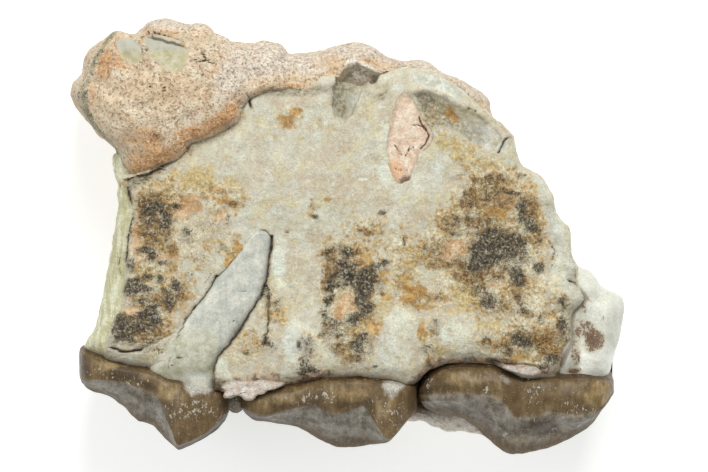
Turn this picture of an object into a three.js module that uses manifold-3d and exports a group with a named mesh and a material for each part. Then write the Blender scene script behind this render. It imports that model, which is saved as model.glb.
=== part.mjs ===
// A fossil oreodont jaw: a broken length of jaw bone that holds three molars, backed and
// overgrown by the siltstone that it was buried in. It lies on the worn flat of that stone,
// with the outer face of the jaw up and the teeth pointing towards -Y.
// Millimetres, +Z up, origin under the middle of the fossil on the surface it rests on.

import * as THREE from 'three';
import { mergeVertices } from 'three/addons/utils/BufferGeometryUtils.js';
import Module from 'manifold-3d';

const wasm = await Module();
wasm.setup();

// Driving dimensions
const FACE_HEIGHT = 15.0; // the jaw's outer face above the surface that the fossil rests on
const STONE_TOP = 16.3; // the stone's highest face, at the upper left
const STONE_UNDER_BONE = 12.0; // how high the stone reaches before the bone is let into it
const BONE_WALL = 5.6; // thickness of the bone above the tooth row
const SOCKET_FLOOR = 3.0; // inner side of the thick bone that holds the roots
const STONE_WORN = 0.8; // how much of the stone's back is worn off flat
const STONE_RIM = 8.0; // level of the stone's widest edge
const BONE_RIM = 11.2; // level of the bone's widest edge
const LOBE_FALL = { from: -10, slope: 0.3 }; // how the stone's highest part drops to the right
const LOBE_FOOT = 3.0; // how deep that part is rooted in the rest of the stone
const STONE_BEHIND_TEETH = 2.6; // thickness of the stone behind the tooth row
const RIM_BEHIND_TEETH = 1.4; // level of its widest edge there
const MOLAR_DEPTH = 11.4; // a molar from its outer to its tongue side
const LINGUAL_NECK = -11.6; // gum line on the molars' tongue side
const CUSP_RISE = 0.9; // the tongue side's cusps stop this much short of the inner ones
const VALLEY = 1.7; // depth of the pit between the two rows of cusps
const PALE_ROOT_DROP = 1.5; // how far the right molar's root lies below the jaw's outer face
const PALE_ROOT_RIM = 8.6; // level of that root's widest edge
const PALE_ROOT_BACK = 4.2; // level of its inner side
const PLUG_RIM = 14.0; // level of the stone plug's widest edge
const PLUG_FOOT = 11.8; // level of its inner end
const SEAT_GAP = 0.3; // the seam between two pieces that touch
const STONE_GAP = 0.5; // the wider seam between the stone and the teeth, which have hollows

// Outline of the stone, seen from above, anticlockwise from its right end
const STONE_EDGE = [
  [19.0, -2.2], [18.9, 0.3], [17.9, 2.0], [17.2, 4.2], [15.6, 5.7], [14.6, 7.2], [13.9, 9.0],
  [12.5, 10.3], [12.0, 11.9], [10.4, 13.5], [8.6, 14.3], [7.0, 15.1], [4.6, 15.2], [2.6, 16.0],
  [0.8, 16.6], [-1.2, 16.3], [-3.2, 15.8], [-4.9, 15.8], [-6.0, 16.7], [-7.6, 16.8], [-9.9, 16.6],
  [-11.3, 17.3], [-12.2, 18.1], [-13.6, 18.15], [-15.4, 18.65], [-17.0, 18.4], [-18.4, 17.5],
  [-20.0, 17.8], [-21.2, 16.8], [-22.1, 16.0], [-22.5, 14.2], [-23.5, 13.2], [-23.75, 12.1],
  [-23.0, 10.7], [-21.6, 8.9], [-20.2, 7.9], [-19.6, 6.4], [-18.8, 3.0], [-18.6, -1.0],
  [-18.9, -5.0], [-17.5, -8.6], [-12.0, -10.4], [-4.0, -11.4], [1.5, -13.4], [4.6, -15.7],
  [6.6, -15.8], [8.6, -16.7], [10.4, -16.7], [12.2, -16.9], [14.6, -15.0], [17.6, -11.5],
  [18.8, -7.0],
];
const STONE_CENTRE = [-3.5, 3.5];

// Outline of the part of the stone that stands proud of the bone, anticlockwise from its right end
const LOBE_EDGE = [
  [-1.6, 15.2], [-3.2, 15.7], [-4.9, 15.8], [-6.0, 16.65], [-7.6, 16.75], [-9.9, 16.5],
  [-11.3, 17.2], [-12.2, 18.0], [-13.6, 18.1], [-15.4, 18.6], [-17.0, 18.35], [-18.4, 17.45],
  [-20.0, 17.75], [-21.2, 16.75], [-22.1, 15.95], [-22.5, 14.2], [-23.5, 13.2], [-23.75, 12.1],
  [-23.0, 10.7], [-21.6, 8.9], [-20.2, 7.9], [-19.5, 6.4], [-18.7, 5.3], [-16.3, 6.0],
  [-14.1, 7.4], [-12.6, 8.7], [-10.4, 9.6], [-9.4, 11.2], [-8.3, 12.4], [-5.2, 13.1], [-2.6, 13.9],
];

// Outline of the bone, anticlockwise from its right edge
const BONE_EDGE = [
  [19.1, -1.0], [18.9, 0.6], [17.9, 2.2], [17.3, 4.0], [16.2, 5.3], [14.8, 6.2], [14.4, 7.6],
  [13.7, 9.0], [12.3, 10.2], [10.9, 11.4], [8.9, 13.2], [6.6, 14.3], [3.9, 14.4], [2.6, 13.3],
  [0.6, 12.9], [-1.6, 13.4], [-3.3, 12.8], [-5.4, 12.8], [-7.6, 12.3], [-9.2, 11.4], [-9.8, 10.2],
  [-11.6, 8.9], [-13.3, 8.1], [-14.6, 7.0], [-16.3, 6.0], [-18.1, 5.1], [-19.6, 5.4],
  [-19.6, 3.6], [-19.8, 1.2], [-20.3, -2.0], [-20.8, -5.0], [-21.4, -7.6], [-22.3, -9.0],
  [-21.0, -10.1], [-19.0, -10.8], [-16.8, -11.2], [-15.2, -12.1], [-13.4, -12.9], [-11.4, -12.9],
  [-9.6, -13.4], [-7.6, -13.4], [-5.6, -13.0], [-3.0, -12.5], [0.4, -12.3], [4.4, -12.9],
  [5.9, -13.1], [7.4, -11.6], [9.2, -11.2], [12.6, -11.3], [14.2, -11.8], [16.4, -12.1],
  [18.2, -11.5], [18.5, -10.0], [19.2, -8.6], [19.1, -7.0], [19.5, -6.0], [20.4, -5.1],
  [19.7, -3.6],
];
const BONE_CENTRE = [-0.5, -0.6];

// The lump of stone against the chewing side: middle, half widths, and its two lifts
const LUMP = { x: 8.4, y: -16.2, across: 4.2, along: 2.2, top: 7.4, rim: 3.6 };

// Swells and hollows of the bone's outer face: middle, half widths, turn in degrees and lift
const BONE_RELIEF = [
  { x: 0.0, y: -9.4, across: 17.0, along: 3.2, turn: 0, lift: 0.8 }, // swell over the roots
  { x: 6.4, y: 12.4, across: 3.6, along: 0.9, turn: -24, lift: 0.7 }, // ridge at the top right
  { x: 8.4, y: 10.2, across: 2.7, along: 1.6, turn: -38, lift: -1.4 }, // scoop beside the plug
  { x: -0.3, y: 11.1, across: 0.9, along: 1.3, turn: 14, lift: -1.3 }, // chipped notch
  { x: 1.7, y: 13.7, across: 1.7, along: 0.9, turn: 0, lift: -2.4 }, // hollow at the top edge
  { x: 13.2, y: -1.2, across: 4.4, along: 5.2, turn: 0, lift: -0.35 }, // etched, stained hollow
  { x: -16.8, y: -1.5, across: 2.2, along: 7.0, turn: 0, lift: -0.3 }, // stained strip at the left
  { x: -22.0, y: -3.0, across: 2.6, along: 12.0, turn: 0, lift: -2.2 }, // side turning under
];
const STONE_RELIEF = [
  { x: -18.2, y: 11.6, across: 3.4, along: 3.4, turn: 0, lift: 0.5 },
  { x: -8.2, y: 15.0, across: 2.4, along: 1.2, turn: 0, lift: 0.5 },
  { x: 0.4, y: 15.8, across: 2.4, along: 1.3, turn: 0, lift: 1.2 },
  { x: -22.0, y: 10.0, across: 1.6, along: 4.6, turn: 30, lift: -1.2 },
];

// Colours
const BONE_GREY = 0xbcb9a4;
const STONE_PINK = 0xc4a58e;
const PLUG_PINK = 0xd2b8a8;
const ENAMEL_BROWN = 0x6b5b45;
const CHIP_GREEN = 0xb4b59b;
const CRUST_PALE = 0xcdb9ac;

const TURN = 2 * Math.PI;

// Smooth step from 0 at a to 1 at b
function ramp(a, b, v) {
  const t = Math.min(1, Math.max(0, (v - a) / (b - a)));
  return t * t * (3 - 2 * t);
}

// Sum of round swells, each falling off as a bell
function relief(features, x, y) {
  let sum = 0;
  for (const f of features) {
    const turn = (f.turn * Math.PI) / 180;
    const dx = x - f.x;
    const dy = y - f.y;
    const u = (dx * Math.cos(turn) + dy * Math.sin(turn)) / f.across;
    const v = (dy * Math.cos(turn) - dx * Math.sin(turn)) / f.along;
    sum += f.lift * Math.exp(-(u * u + v * v));
  }
  return sum;
}

// Height along a line of [x, value] knots
function lineAt(knots, x) {
  const last = knots.length - 1;
  if (x <= knots[0][0]) return knots[0][1];
  if (x >= knots[last][0]) return knots[last][1];
  const i = knots.findIndex((k) => k[0] > x);
  const [x0, v0] = knots[i - 1];
  const [x1, v1] = knots[i];
  return v0 + ((v1 - v0) * (x - x0)) / (x1 - x0);
}

// Radius of a smooth closed outline as a function of the angle round its centre
function radiusOf(edge, [cx, cy]) {
  const points = edge.map(([x, y]) => new THREE.Vector3(x - cx, y - cy, 0));
  const curve = new THREE.CatmullRomCurve3(points, true, 'centripetal');
  const samples = curve.getPoints(edge.length * 8).slice(0, -1);
  const polar = samples.map((p) => [(Math.atan2(p.y, p.x) + TURN) % TURN, Math.hypot(p.x, p.y)]);
  polar.sort((a, b) => a[0] - b[0]);
  const first = polar[0];
  const last = polar[polar.length - 1];
  const closed = [[last[0] - TURN, last[1]], ...polar, [first[0] + TURN, first[1]]];
  return (angle) => lineAt(closed, ((angle % TURN) + TURN) % TURN);
}

// Closed surface through rings of points, with a pole before the first and after the last
function loft(rings, startPole, endPole) {
  const sides = rings[0].length;
  const positions = [...rings.flat(), startPole, endPole].flatMap((p) => [p.x, p.y, p.z]);
  const start = rings.length * sides;
  const index = [];
  for (let i = 0; i < sides; i++) {
    const j = (i + 1) % sides;
    index.push(start, i, j);
    for (let r = 0; r < rings.length - 1; r++) {
      const a = r * sides + i;
      const b = r * sides + j;
      index.push(a, a + sides, b, b, a + sides, b + sides);
    }
    const tail = (rings.length - 1) * sides;
    index.push(start + 1, tail + j, tail + i);
  }
  const geometry = new THREE.BufferGeometry();
  geometry.setAttribute('position', new THREE.Float32BufferAttribute(positions, 3));
  geometry.setIndex(index);
  return geometry;
}

// A manifold-3d solid from a geometry, turned right side out if need be
function solidOf(geometry) {
  const merged = mergeVertices(geometry, 1e-4);
  const triVerts = new Uint32Array(merged.index.array);
  const vertProperties = merged.attributes.position.array;
  const made = new wasm.Manifold(new wasm.Mesh({ numProp: 3, vertProperties, triVerts }));
  if (made.volume() > 0) return made;
  for (let i = 0; i < triVerts.length; i += 3) {
    [triVerts[i + 1], triVerts[i + 2]] = [triVerts[i + 2], triVerts[i + 1]];
  }
  return new wasm.Manifold(new wasm.Mesh({ numProp: 3, vertProperties, triVerts }));
}

// A slab: an outline in plan between an upper and a lower face that close at a rounded rim.
// At share s of the radius the faces stand (1 - s^n)^(1/n) of their height off the rim, and
// nothing reaches below the surface that the fossil rests on.
function slab({ edge, centre, rim, top, bottom, power, sides, upper, lower, grow = 0 }) {
  const radius = radiusOf(edge, centre);
  const stand = (s) => Math.pow(Math.max(0, 1 - Math.pow(s, power)), 1 / power);
  const ring = (s, face) => {
    const points = [];
    for (let i = 0; i < sides; i++) {
      const angle = (TURN * i) / sides;
      const reach = s * (radius(angle) + grow);
      const x = centre[0] + reach * Math.cos(angle);
      const y = centre[1] + reach * Math.sin(angle);
      const target = face === 'top' ? top(x, y) + grow : bottom(x, y) - grow;
      const level = rim(x, y);
      points.push(new THREE.Vector3(x, y, Math.max(0, level + (target - level) * stand(s))));
    }
    return points;
  };
  const rings = [...upper.map((s) => ring(s, 'top')), ...lower.map((s) => ring(s, 'bottom'))];
  const [cx, cy] = centre;
  const peak = new THREE.Vector3(cx, cy, top(cx, cy) + grow);
  const foot = new THREE.Vector3(cx, cy, Math.max(0, bottom(cx, cy) - grow));
  return solidOf(loft(rings, peak, foot));
}

// A root: a squared oval section carried along a path of { x, y, z, wide, deep } stations
function root(stations, sides, grow = 0) {
  const SQUARENESS = 3.4;
  const CAP = 0.5; // how far the rounded ends go on past the last stations
  const squared = (v) => Math.sign(v) * Math.pow(Math.abs(v), 2 / SQUARENESS);
  const ends = [stations[0], stations[stations.length - 1]];
  const run = new THREE.Vector3(ends[1].x - ends[0].x, ends[1].y - ends[0].y, 0).normalize();
  const across = new THREE.Vector3(-run.y, run.x, 0);
  const rings = stations.map((s) => {
    const points = [];
    for (let i = 0; i < sides; i++) {
      const angle = (TURN * i) / sides;
      const side = (s.wide + grow) * squared(Math.cos(angle));
      const up = (s.deep + grow) * squared(Math.sin(angle));
      points.push(new THREE.Vector3(s.x + across.x * side, s.y + across.y * side, s.z + up));
    }
    return points;
  });
  const pole = (s, out) => new THREE.Vector3(s.x + run.x * out, s.y + run.y * out, s.z);
  return solidOf(loft(rings, pole(ends[0], -CAP - grow), pole(ends[1], CAP + grow)));
}

// A molar's crown. Its plan, looked at from the chewing side, is a squared oval in X and Z with
// ribs on the outer wall. The outer wall runs from the neck line down to the worn crest; behind
// the crest the chewing face slopes on to the inner cusps, dips, and rises to the tongue side.
function crown({ left, right, outer, neck, crest, reach, ribs, grow = 0 }) {
  const SIDES = 32;
  const CAP_STEPS = [0.22, 0.42, 0.6, 0.76, 0.9, 1];
  const WALL_STEPS = [0.3, 0.65, 1];
  const WAIST = 0.06; // how much narrower the neck is than the crown
  const SQUARENESS = 3;
  const LEAST_WALL = 1.0; // the chewing face stays at least this far off the gum line
  const midX = (left + right) / 2;
  const midZ = outer - MOLAR_DEPTH / 2;
  const halfX = (right - left) / 2 + grow;
  const halfZ = MOLAR_DEPTH / 2 + grow;
  const squared = (v) => Math.sign(v) * Math.pow(Math.abs(v), 2 / SQUARENESS);
  const bulge = (x, rib) => rib.lift * Math.exp(-(((x - rib.x) / rib.wide) ** 2));
  const ribbed = (x) => ribs.reduce((sum, rib) => sum + bulge(x, rib), 0);
  // Height of the chewing face at share t of the way from the outer to the tongue side
  const chew = (x, t) => {
    const low = lineAt(reach, x);
    const most = LINGUAL_NECK - LEAST_WALL;
    const across = [
      [0, lineAt(crest, x)], [0.14, (lineAt(crest, x) + low) / 2 - 0.15], [0.3, low],
      [0.52, Math.min(low + VALLEY, most)], [0.76, Math.min(low + CUSP_RISE, most - 0.2)],
      [1, Math.min(low + CUSP_RISE + 1.4, most + 0.2)],
    ];
    return lineAt(across, t) - grow;
  };
  const section = (s, wall) => {
    const points = [];
    for (let i = 0; i < SIDES; i++) {
      const angle = (TURN * i) / SIDES;
      const rimX = midX + halfX * squared(Math.cos(angle));
      const outward = Math.max(0, Math.sin(angle));
      const rimZ = midZ + halfZ * squared(Math.sin(angle)) + ribbed(rimX) * Math.sqrt(outward);
      const waist = 1 - WAIST * wall * wall;
      const x = midX + (rimX - midX) * s * waist;
      const z = midZ + (rimZ - midZ) * s * waist;
      const cosine = Math.sqrt(Math.max(0, 1 - ((x - midX) / halfX) ** 2));
      const spread = halfZ * squared(cosine);
      const share = Math.min(1, Math.max(0, (midZ + spread - z) / (2 * spread)));
      const t = spread < 0.05 ? 0.3 : share;
      const chewY = chew(x, t);
      const frontness = ramp(-0.5, 0.6, Math.sin(angle));
      const neckY = THREE.MathUtils.lerp(LINGUAL_NECK, lineAt(neck, x), frontness);
      points.push(new THREE.Vector3(x, chewY + (neckY + grow - chewY) * wall, z));
    }
    return points;
  };
  const rings = [
    ...CAP_STEPS.map((s) => section(s, 0)),
    ...WALL_STEPS.map((w) => section(1, w)),
    section(0.5, 1),
  ];
  const bite = new THREE.Vector3(midX, chew(midX, 0.5), midZ);
  const seat = new THREE.Vector3(midX, lineAt(neck, midX) + grow, midZ);
  return solidOf(loft(rings, bite, seat));
}

// The three molars, from left to right
const MOLARS = [
  {
    name: 'molar_left', left: -22.8, right: -10.1, outer: 14.8,
    neck: [
      [-22.8, -9.3], [-21.9, -9.9], [-20, -10.6], [-17, -11.3], [-15.2, -12.2], [-13.4, -13.0],
      [-10.1, -13.3],
    ],
    crest: [
      [-22.8, -12.2], [-19, -12.4], [-16.4, -13.2], [-15.1, -15.8], [-14.3, -17.7],
      [-12.2, -16.8], [-10.1, -14.9],
    ],
    reach: [
      [-22.8, -12.4], [-21, -13.2], [-19.2, -14.3], [-17.9, -15.7], [-16.4, -16.1],
      [-14.3, -18.1], [-12.2, -17.0], [-10.1, -15.0],
    ],
    ribs: [{ x: -14.2, wide: 1.5, lift: 0.9 }, { x: -21.6, wide: 1.2, lift: 0.2 }],
  },
  {
    name: 'molar_middle', left: -9.0, right: 5.9, outer: 15.0,
    neck: [
      [-9.0, -13.4], [-7, -13.3], [-4, -12.7], [-2, -12.2], [0, -12.0], [5, -12.4], [5.9, -12.4],
    ],
    crest: [
      [-9.0, -14.5], [-6, -14.9], [-3, -14.2], [-1, -14.9], [1.5, -14.3], [3.7, -17.0],
      [5.9, -14.4],
    ],
    reach: [
      [-9.0, -14.7], [-7.6, -15.65], [-4.3, -16.1], [-1.8, -17.5], [0, -17.8], [3.2, -17.5],
      [4.2, -16.8], [5.9, -14.5],
    ],
    ribs: [
      { x: 3.7, wide: 1.3, lift: 0.8 }, { x: -1.0, wide: 1.1, lift: 0.4 },
      { x: -6.4, wide: 1.6, lift: 0.3 },
    ],
  },
  {
    name: 'molar_right', left: 6.2, right: 22.65, outer: 15.0,
    neck: [
      [6.2, -12.6], [7.4, -11.6], [8.8, -11.1], [12.4, -11.0], [14, -11.8], [16.2, -12.2],
      [20, -12.0], [22.65, -12.2],
    ],
    crest: [
      [6.2, -13.6], [10, -13.3], [12.6, -13.5], [14.6, -15.3], [17, -14.9], [19.5, -15.2],
      [22.65, -13.0],
    ],
    reach: [
      [6.2, -13.9], [8, -15.0], [9.7, -15.2], [11, -16.2], [13, -17.9], [14.4, -18.5],
      [16.5, -18.1], [19.5, -16.9], [21.4, -15.3], [22.65, -13.1],
    ],
    ribs: [
      { x: 10.4, wide: 2.2, lift: 0.6 }, { x: 19.4, wide: 2.0, lift: 0.5 },
      { x: 14.8, wide: 0.9, lift: -0.7 },
    ],
  },
];

// The left molar's outer root, laid bare by a break in the bone
const BARE_ROOT = [
  { x: -14.6, y: -13.4, z: 12.3, wide: 2.5, deep: 2.0 },
  { x: -13.9, y: -10.6, z: 12.6, wide: 3.0, deep: 2.9 },
  { x: -12.3, y: -7.4, z: 12.8, wide: 2.7, deep: 2.7 },
  { x: -10.5, y: -4.4, z: 13.0, wide: 2.2, deep: 2.4 },
  { x: -8.8, y: -1.8, z: 13.2, wide: 1.6, deep: 2.1 },
  { x: -7.4, y: 0.4, z: 13.6, wide: 0.7, deep: 1.6 },
];

// Roots that stay hidden in the bone
const HIDDEN_ROOTS = {
  molar_left: [[-18.6, 6.4]],
  molar_middle: [[-4.6, 8.6], [1.8, 8.6]],
  molar_right: [[10.4, 8.6]],
};
const HIDDEN_ROOT_RADII = [[-12.6, 2.2], [-9.5, 2.0], [-4.5, 1.0]]; // [y, radius] up to the tip

function hiddenRoot([x, z], grow = 0) {
  return root(HIDDEN_ROOT_RADII.map(([y, r]) => ({ x, y, z, wide: r, deep: r })), 10, grow);
}

// The right molar's root: a broad pale slab past the broken edge of the bone
function paleRoot(grow = 0) {
  return slab({
    edge: [
      [23.75, -5.6], [23.45, -4.9], [22.4, -4.4], [21.6, -3.8], [20.9, -2.9], [20.1, -2.6],
      [18.6, -3.2], [17.6, -5.4], [17.2, -8.4], [17.6, -12.6], [19.8, -13.4], [22.3, -12.8],
      [22.5, -11.4], [22.7, -10.4], [23.2, -8.8], [23.6, -6.8],
    ],
    centre: [20.5, -8.0], rim: () => PALE_ROOT_RIM, power: 4, sides: 28,
    top: (x, y) => FACE_HEIGHT - PALE_ROOT_DROP + relief(PALE_ROOT_RELIEF, x, y),
    bottom: () => PALE_ROOT_BACK,
    upper: [0.5, 0.8, 0.95, 1], lower: [0.9, 0.6], grow,
  });
}
const PALE_ROOT_RELIEF = [
  { x: 21.4, y: -7.6, across: 0.9, along: 3.4, turn: -12, lift: 0.35 },
  { x: 19.8, y: -8.0, across: 0.7, along: 1.6, turn: 0, lift: -0.5 },
];

const PLUG_EDGE = [
  [6.95, 8.8], [6.5, 10.0], [5.8, 11.3], [5.2, 12.1], [4.6, 12.1], [4.1, 11.3], [3.7, 9.8],
  [3.45, 8.0], [3.6, 6.6], [4.1, 5.4], [4.7, 4.8], [5.5, 5.2], [5.9, 6.3], [6.6, 7.6],
];

// Sediment that filled an opening in the bone
function plug(grow = 0) {
  return slab({
    edge: PLUG_EDGE, centre: [5.1, 8.6], rim: () => PLUG_RIM, power: 3, sides: 24,
    top: (x, y) => boneFace(x, y) - 0.05, bottom: () => PLUG_FOOT,
    upper: [0.45, 0.8, 1], lower: [0.7], grow,
  });
}

// The bone's outer and inner faces. Inside it is thin above the roots and thick round them.
const boneFace = (x, y) => FACE_HEIGHT + relief(BONE_RELIEF, x, y);
function boneInside(x, y) {
  return THREE.MathUtils.lerp(SOCKET_FLOOR, FACE_HEIGHT - BONE_WALL, ramp(-7, 3, y));
}

function bone(grow = 0) {
  return slab({
    edge: BONE_EDGE, centre: BONE_CENTRE, rim: () => BONE_RIM, power: 5, sides: 56,
    top: boneFace, bottom: boneInside,
    upper: [0.2, 0.38, 0.54, 0.68, 0.8, 0.9, 0.965, 1], lower: [0.95, 0.8, 0.55], grow,
  });
}

// The stone fills the back, shows as a strip along the top edge, thins out behind the teeth and
// holds a lump against the chewing side, between the last two of them
function stoneBody() {
  const behind = (y) => ramp(-5, -8, y);
  const lump = (x, y) => {
    const u = (x - LUMP.x) / LUMP.across;
    const v = (y - LUMP.y) / LUMP.along;
    return Math.exp(-(u ** 4) - v ** 4);
  };
  const top = (x, y) => {
    const front = STONE_UNDER_BONE + relief(STONE_RELIEF, x, y);
    return THREE.MathUtils.lerp(front, STONE_BEHIND_TEETH, behind(y)) + LUMP.top * lump(x, y);
  };
  const rim = (x, y) => {
    return THREE.MathUtils.lerp(STONE_RIM, RIM_BEHIND_TEETH, behind(y)) + LUMP.rim * lump(x, y);
  };
  return slab({
    edge: STONE_EDGE, centre: STONE_CENTRE, rim, power: 4, sides: 64,
    top, bottom: () => -STONE_WORN,
    upper: [0.3, 0.55, 0.74, 0.86, 0.94, 1], lower: [0.93, 0.76, 0.4],
  });
}

// The part of the stone that stands proud of the bone, at the upper left
function stoneLobe() {
  return slab({
    edge: LOBE_EDGE, centre: [-15.6, 12.0], rim: () => STONE_RIM, power: 3.6, sides: 38,
    top: (x, y) => {
      const fall = LOBE_FALL.slope * Math.max(0, x - LOBE_FALL.from);
      return STONE_TOP - fall + relief(STONE_RELIEF, x, y);
    },
    bottom: () => LOBE_FOOT,
    upper: [0.3, 0.55, 0.75, 0.89, 0.965, 1], lower: [0.8],
  });
}

// Two flat chips of bone caught in the stone, and two thin crusts of sediment at the gum line
const STUCK_PIECES = [
  {
    name: 'bone_chip_left', colour: CHIP_GREEN, centre: [-18.5, 16.1], rim: 15.5, top: 16.45,
    bottom: 14.9,
    edge: [
      [-17.35, 16.3], [-17.7, 17.15], [-18.6, 17.25], [-19.6, 17.1], [-20.0, 16.6],
      [-19.3, 15.8], [-18.7, 15.1], [-17.9, 15.0], [-17.4, 15.5],
    ],
  },
  {
    name: 'bone_chip_right', colour: CHIP_GREEN, centre: [-15.5, 15.6], rim: 15.5, top: 16.5,
    bottom: 14.9,
    edge: [
      [-13.9, 15.7], [-14.3, 16.4], [-15.4, 16.7], [-16.6, 17.0], [-17.1, 16.9], [-16.9, 16.1],
      [-16.4, 15.3], [-15.7, 14.5], [-14.9, 14.2], [-14.2, 14.6],
    ],
  },
  {
    name: 'crust_left', colour: CRUST_PALE, centre: [-8.2, -12.9], rim: 15.2, top: 16.0,
    bottom: 13.9,
    edge: [
      [-5.4, -12.5], [-6.6, -12.35], [-8.4, -12.3], [-10.4, -12.5], [-11.0, -13.0],
      [-10.4, -13.55], [-9.4, -13.5], [-8.4, -13.6], [-7.4, -13.3], [-6.4, -13.0],
    ],
  },
  {
    name: 'crust_right', colour: CRUST_PALE, centre: [14.9, -11.35], rim: 15.0, top: 15.75,
    bottom: 13.9,
    edge: [
      [16.9, -11.5], [16.0, -11.1], [14.6, -10.95], [13.4, -11.0], [12.9, -11.15],
      [13.8, -11.5], [14.9, -11.8], [16.2, -11.8],
    ],
  },
];

function stuckPiece({ edge, centre, rim, top, bottom }, grow = 0) {
  return slab({
    edge, centre, rim: () => rim, power: 3, sides: 20, top: () => top, bottom: () => bottom,
    upper: [0.6, 0.88, 1], lower: [0.75], grow,
  });
}

// A molar is one piece with its roots
function molar(spec, grow = 0) {
  let made = crown({ ...spec, grow });
  for (const place of HIDDEN_ROOTS[spec.name]) made = made.add(hiddenRoot(place, grow));
  if (spec.name === 'molar_left') made = made.add(root(BARE_ROOT, 14, grow));
  if (spec.name === 'molar_right') made = made.add(paleRoot(grow));
  return made;
}

const jaw = new THREE.Group();

function place(name, made, colour, roughness) {
  const { numProp, vertProperties, triVerts } = made.getMesh();
  const count = vertProperties.length / numProp;
  const positions = new Float32Array(count * 3);
  for (let i = 0; i < count; i++) {
    positions.set(vertProperties.subarray(i * numProp, i * numProp + 3), i * 3);
  }
  const geometry = new THREE.BufferGeometry();
  geometry.setAttribute('position', new THREE.BufferAttribute(positions, 3));
  geometry.setIndex(new THREE.BufferAttribute(triVerts, 1));
  const material = new THREE.MeshStandardMaterial({ color: colour, roughness, metalness: 0 });
  const mesh = new THREE.Mesh(geometry, material);
  mesh.name = name;
  jaw.add(mesh);
}

// Everything that is let into a body leaves a seat in it, one seam wider all round
const seats = {
  molars: MOLARS.map((spec) => molar(spec, SEAT_GAP)),
  plug: plug(SEAT_GAP),
  stuck: STUCK_PIECES.map((spec) => stuckPiece(spec, SEAT_GAP)),
};

let jawBone = bone().subtract(seats.plug);
for (const seat of [...seats.molars, ...seats.stuck]) jawBone = jawBone.subtract(seat);
let siltstone = stoneBody().add(stoneLobe()).subtract(bone(SEAT_GAP));
for (const spec of MOLARS) siltstone = siltstone.subtract(molar(spec, STONE_GAP));
for (const seat of seats.stuck) siltstone = siltstone.subtract(seat);

place('jaw_bone', jawBone, BONE_GREY, 0.6);
place('siltstone', siltstone, STONE_PINK, 0.95);
place('stone_plug', plug(), PLUG_PINK, 0.95);
MOLARS.forEach((spec, i) => {
  let made = molar(spec);
  if (i > 0) made = made.subtract(seats.molars[i - 1]);
  for (const seat of seats.stuck) made = made.subtract(seat);
  place(spec.name, made, ENAMEL_BROWN, 0.3);
});
STUCK_PIECES.forEach((spec) => place(spec.name, stuckPiece(spec), spec.colour, 0.8));

export default jaw;
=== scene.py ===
import math

import bpy
import numpy as np
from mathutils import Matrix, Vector


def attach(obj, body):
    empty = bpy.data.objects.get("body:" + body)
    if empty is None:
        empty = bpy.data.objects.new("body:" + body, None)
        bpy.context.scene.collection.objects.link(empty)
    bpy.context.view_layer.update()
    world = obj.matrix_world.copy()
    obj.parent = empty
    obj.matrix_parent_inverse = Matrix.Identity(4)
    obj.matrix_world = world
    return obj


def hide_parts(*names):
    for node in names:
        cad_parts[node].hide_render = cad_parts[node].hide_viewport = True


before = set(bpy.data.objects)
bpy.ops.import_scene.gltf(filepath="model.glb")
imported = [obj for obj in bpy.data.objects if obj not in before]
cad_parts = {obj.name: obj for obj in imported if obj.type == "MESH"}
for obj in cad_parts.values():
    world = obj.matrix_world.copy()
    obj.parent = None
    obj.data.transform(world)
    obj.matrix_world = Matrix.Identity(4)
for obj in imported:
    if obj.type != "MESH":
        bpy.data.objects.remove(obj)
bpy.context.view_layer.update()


# The siltstone that the jaw was buried in. It is one fine-grained, pink-tan lump: a lobe stands
# proud of the bone at the upper left, a strip runs along the top edge, and the rest lies behind.
# Its back is worn flat, and the fossil rests on it.

# All sizes are in mm. A level is a height over the table
MM = 0.001
REST_LEVEL = 0.0
STONE_RIM = 8.0
STONE_UNDER_BONE = 11.6
STONE_BEHIND_TEETH = 2.6
RIM_BEHIND_TEETH = 1.4
STONE_WORN = 0.8
STONE_POWER = 4.0
LOBE_TOP = 16.25
LOBE_FOOT = 14.9
LOBE_LAP = 0.3
BONE_FACE = 15.0

# Middles of the stone that shows below the right half of the teeth and between two of them
LUMP_AT = (8.4, -16.2)
WEDGE_AT = (-9.6, -13.4)

# A slab's wall meets its gridded back at this share of the radius. The other two give the slab
# that the wall's rows are spaced for
BACK_SHARE = 0.88
USUAL_RADIUS = 16.0
USUAL_HALF_HEIGHT = 6.0

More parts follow.
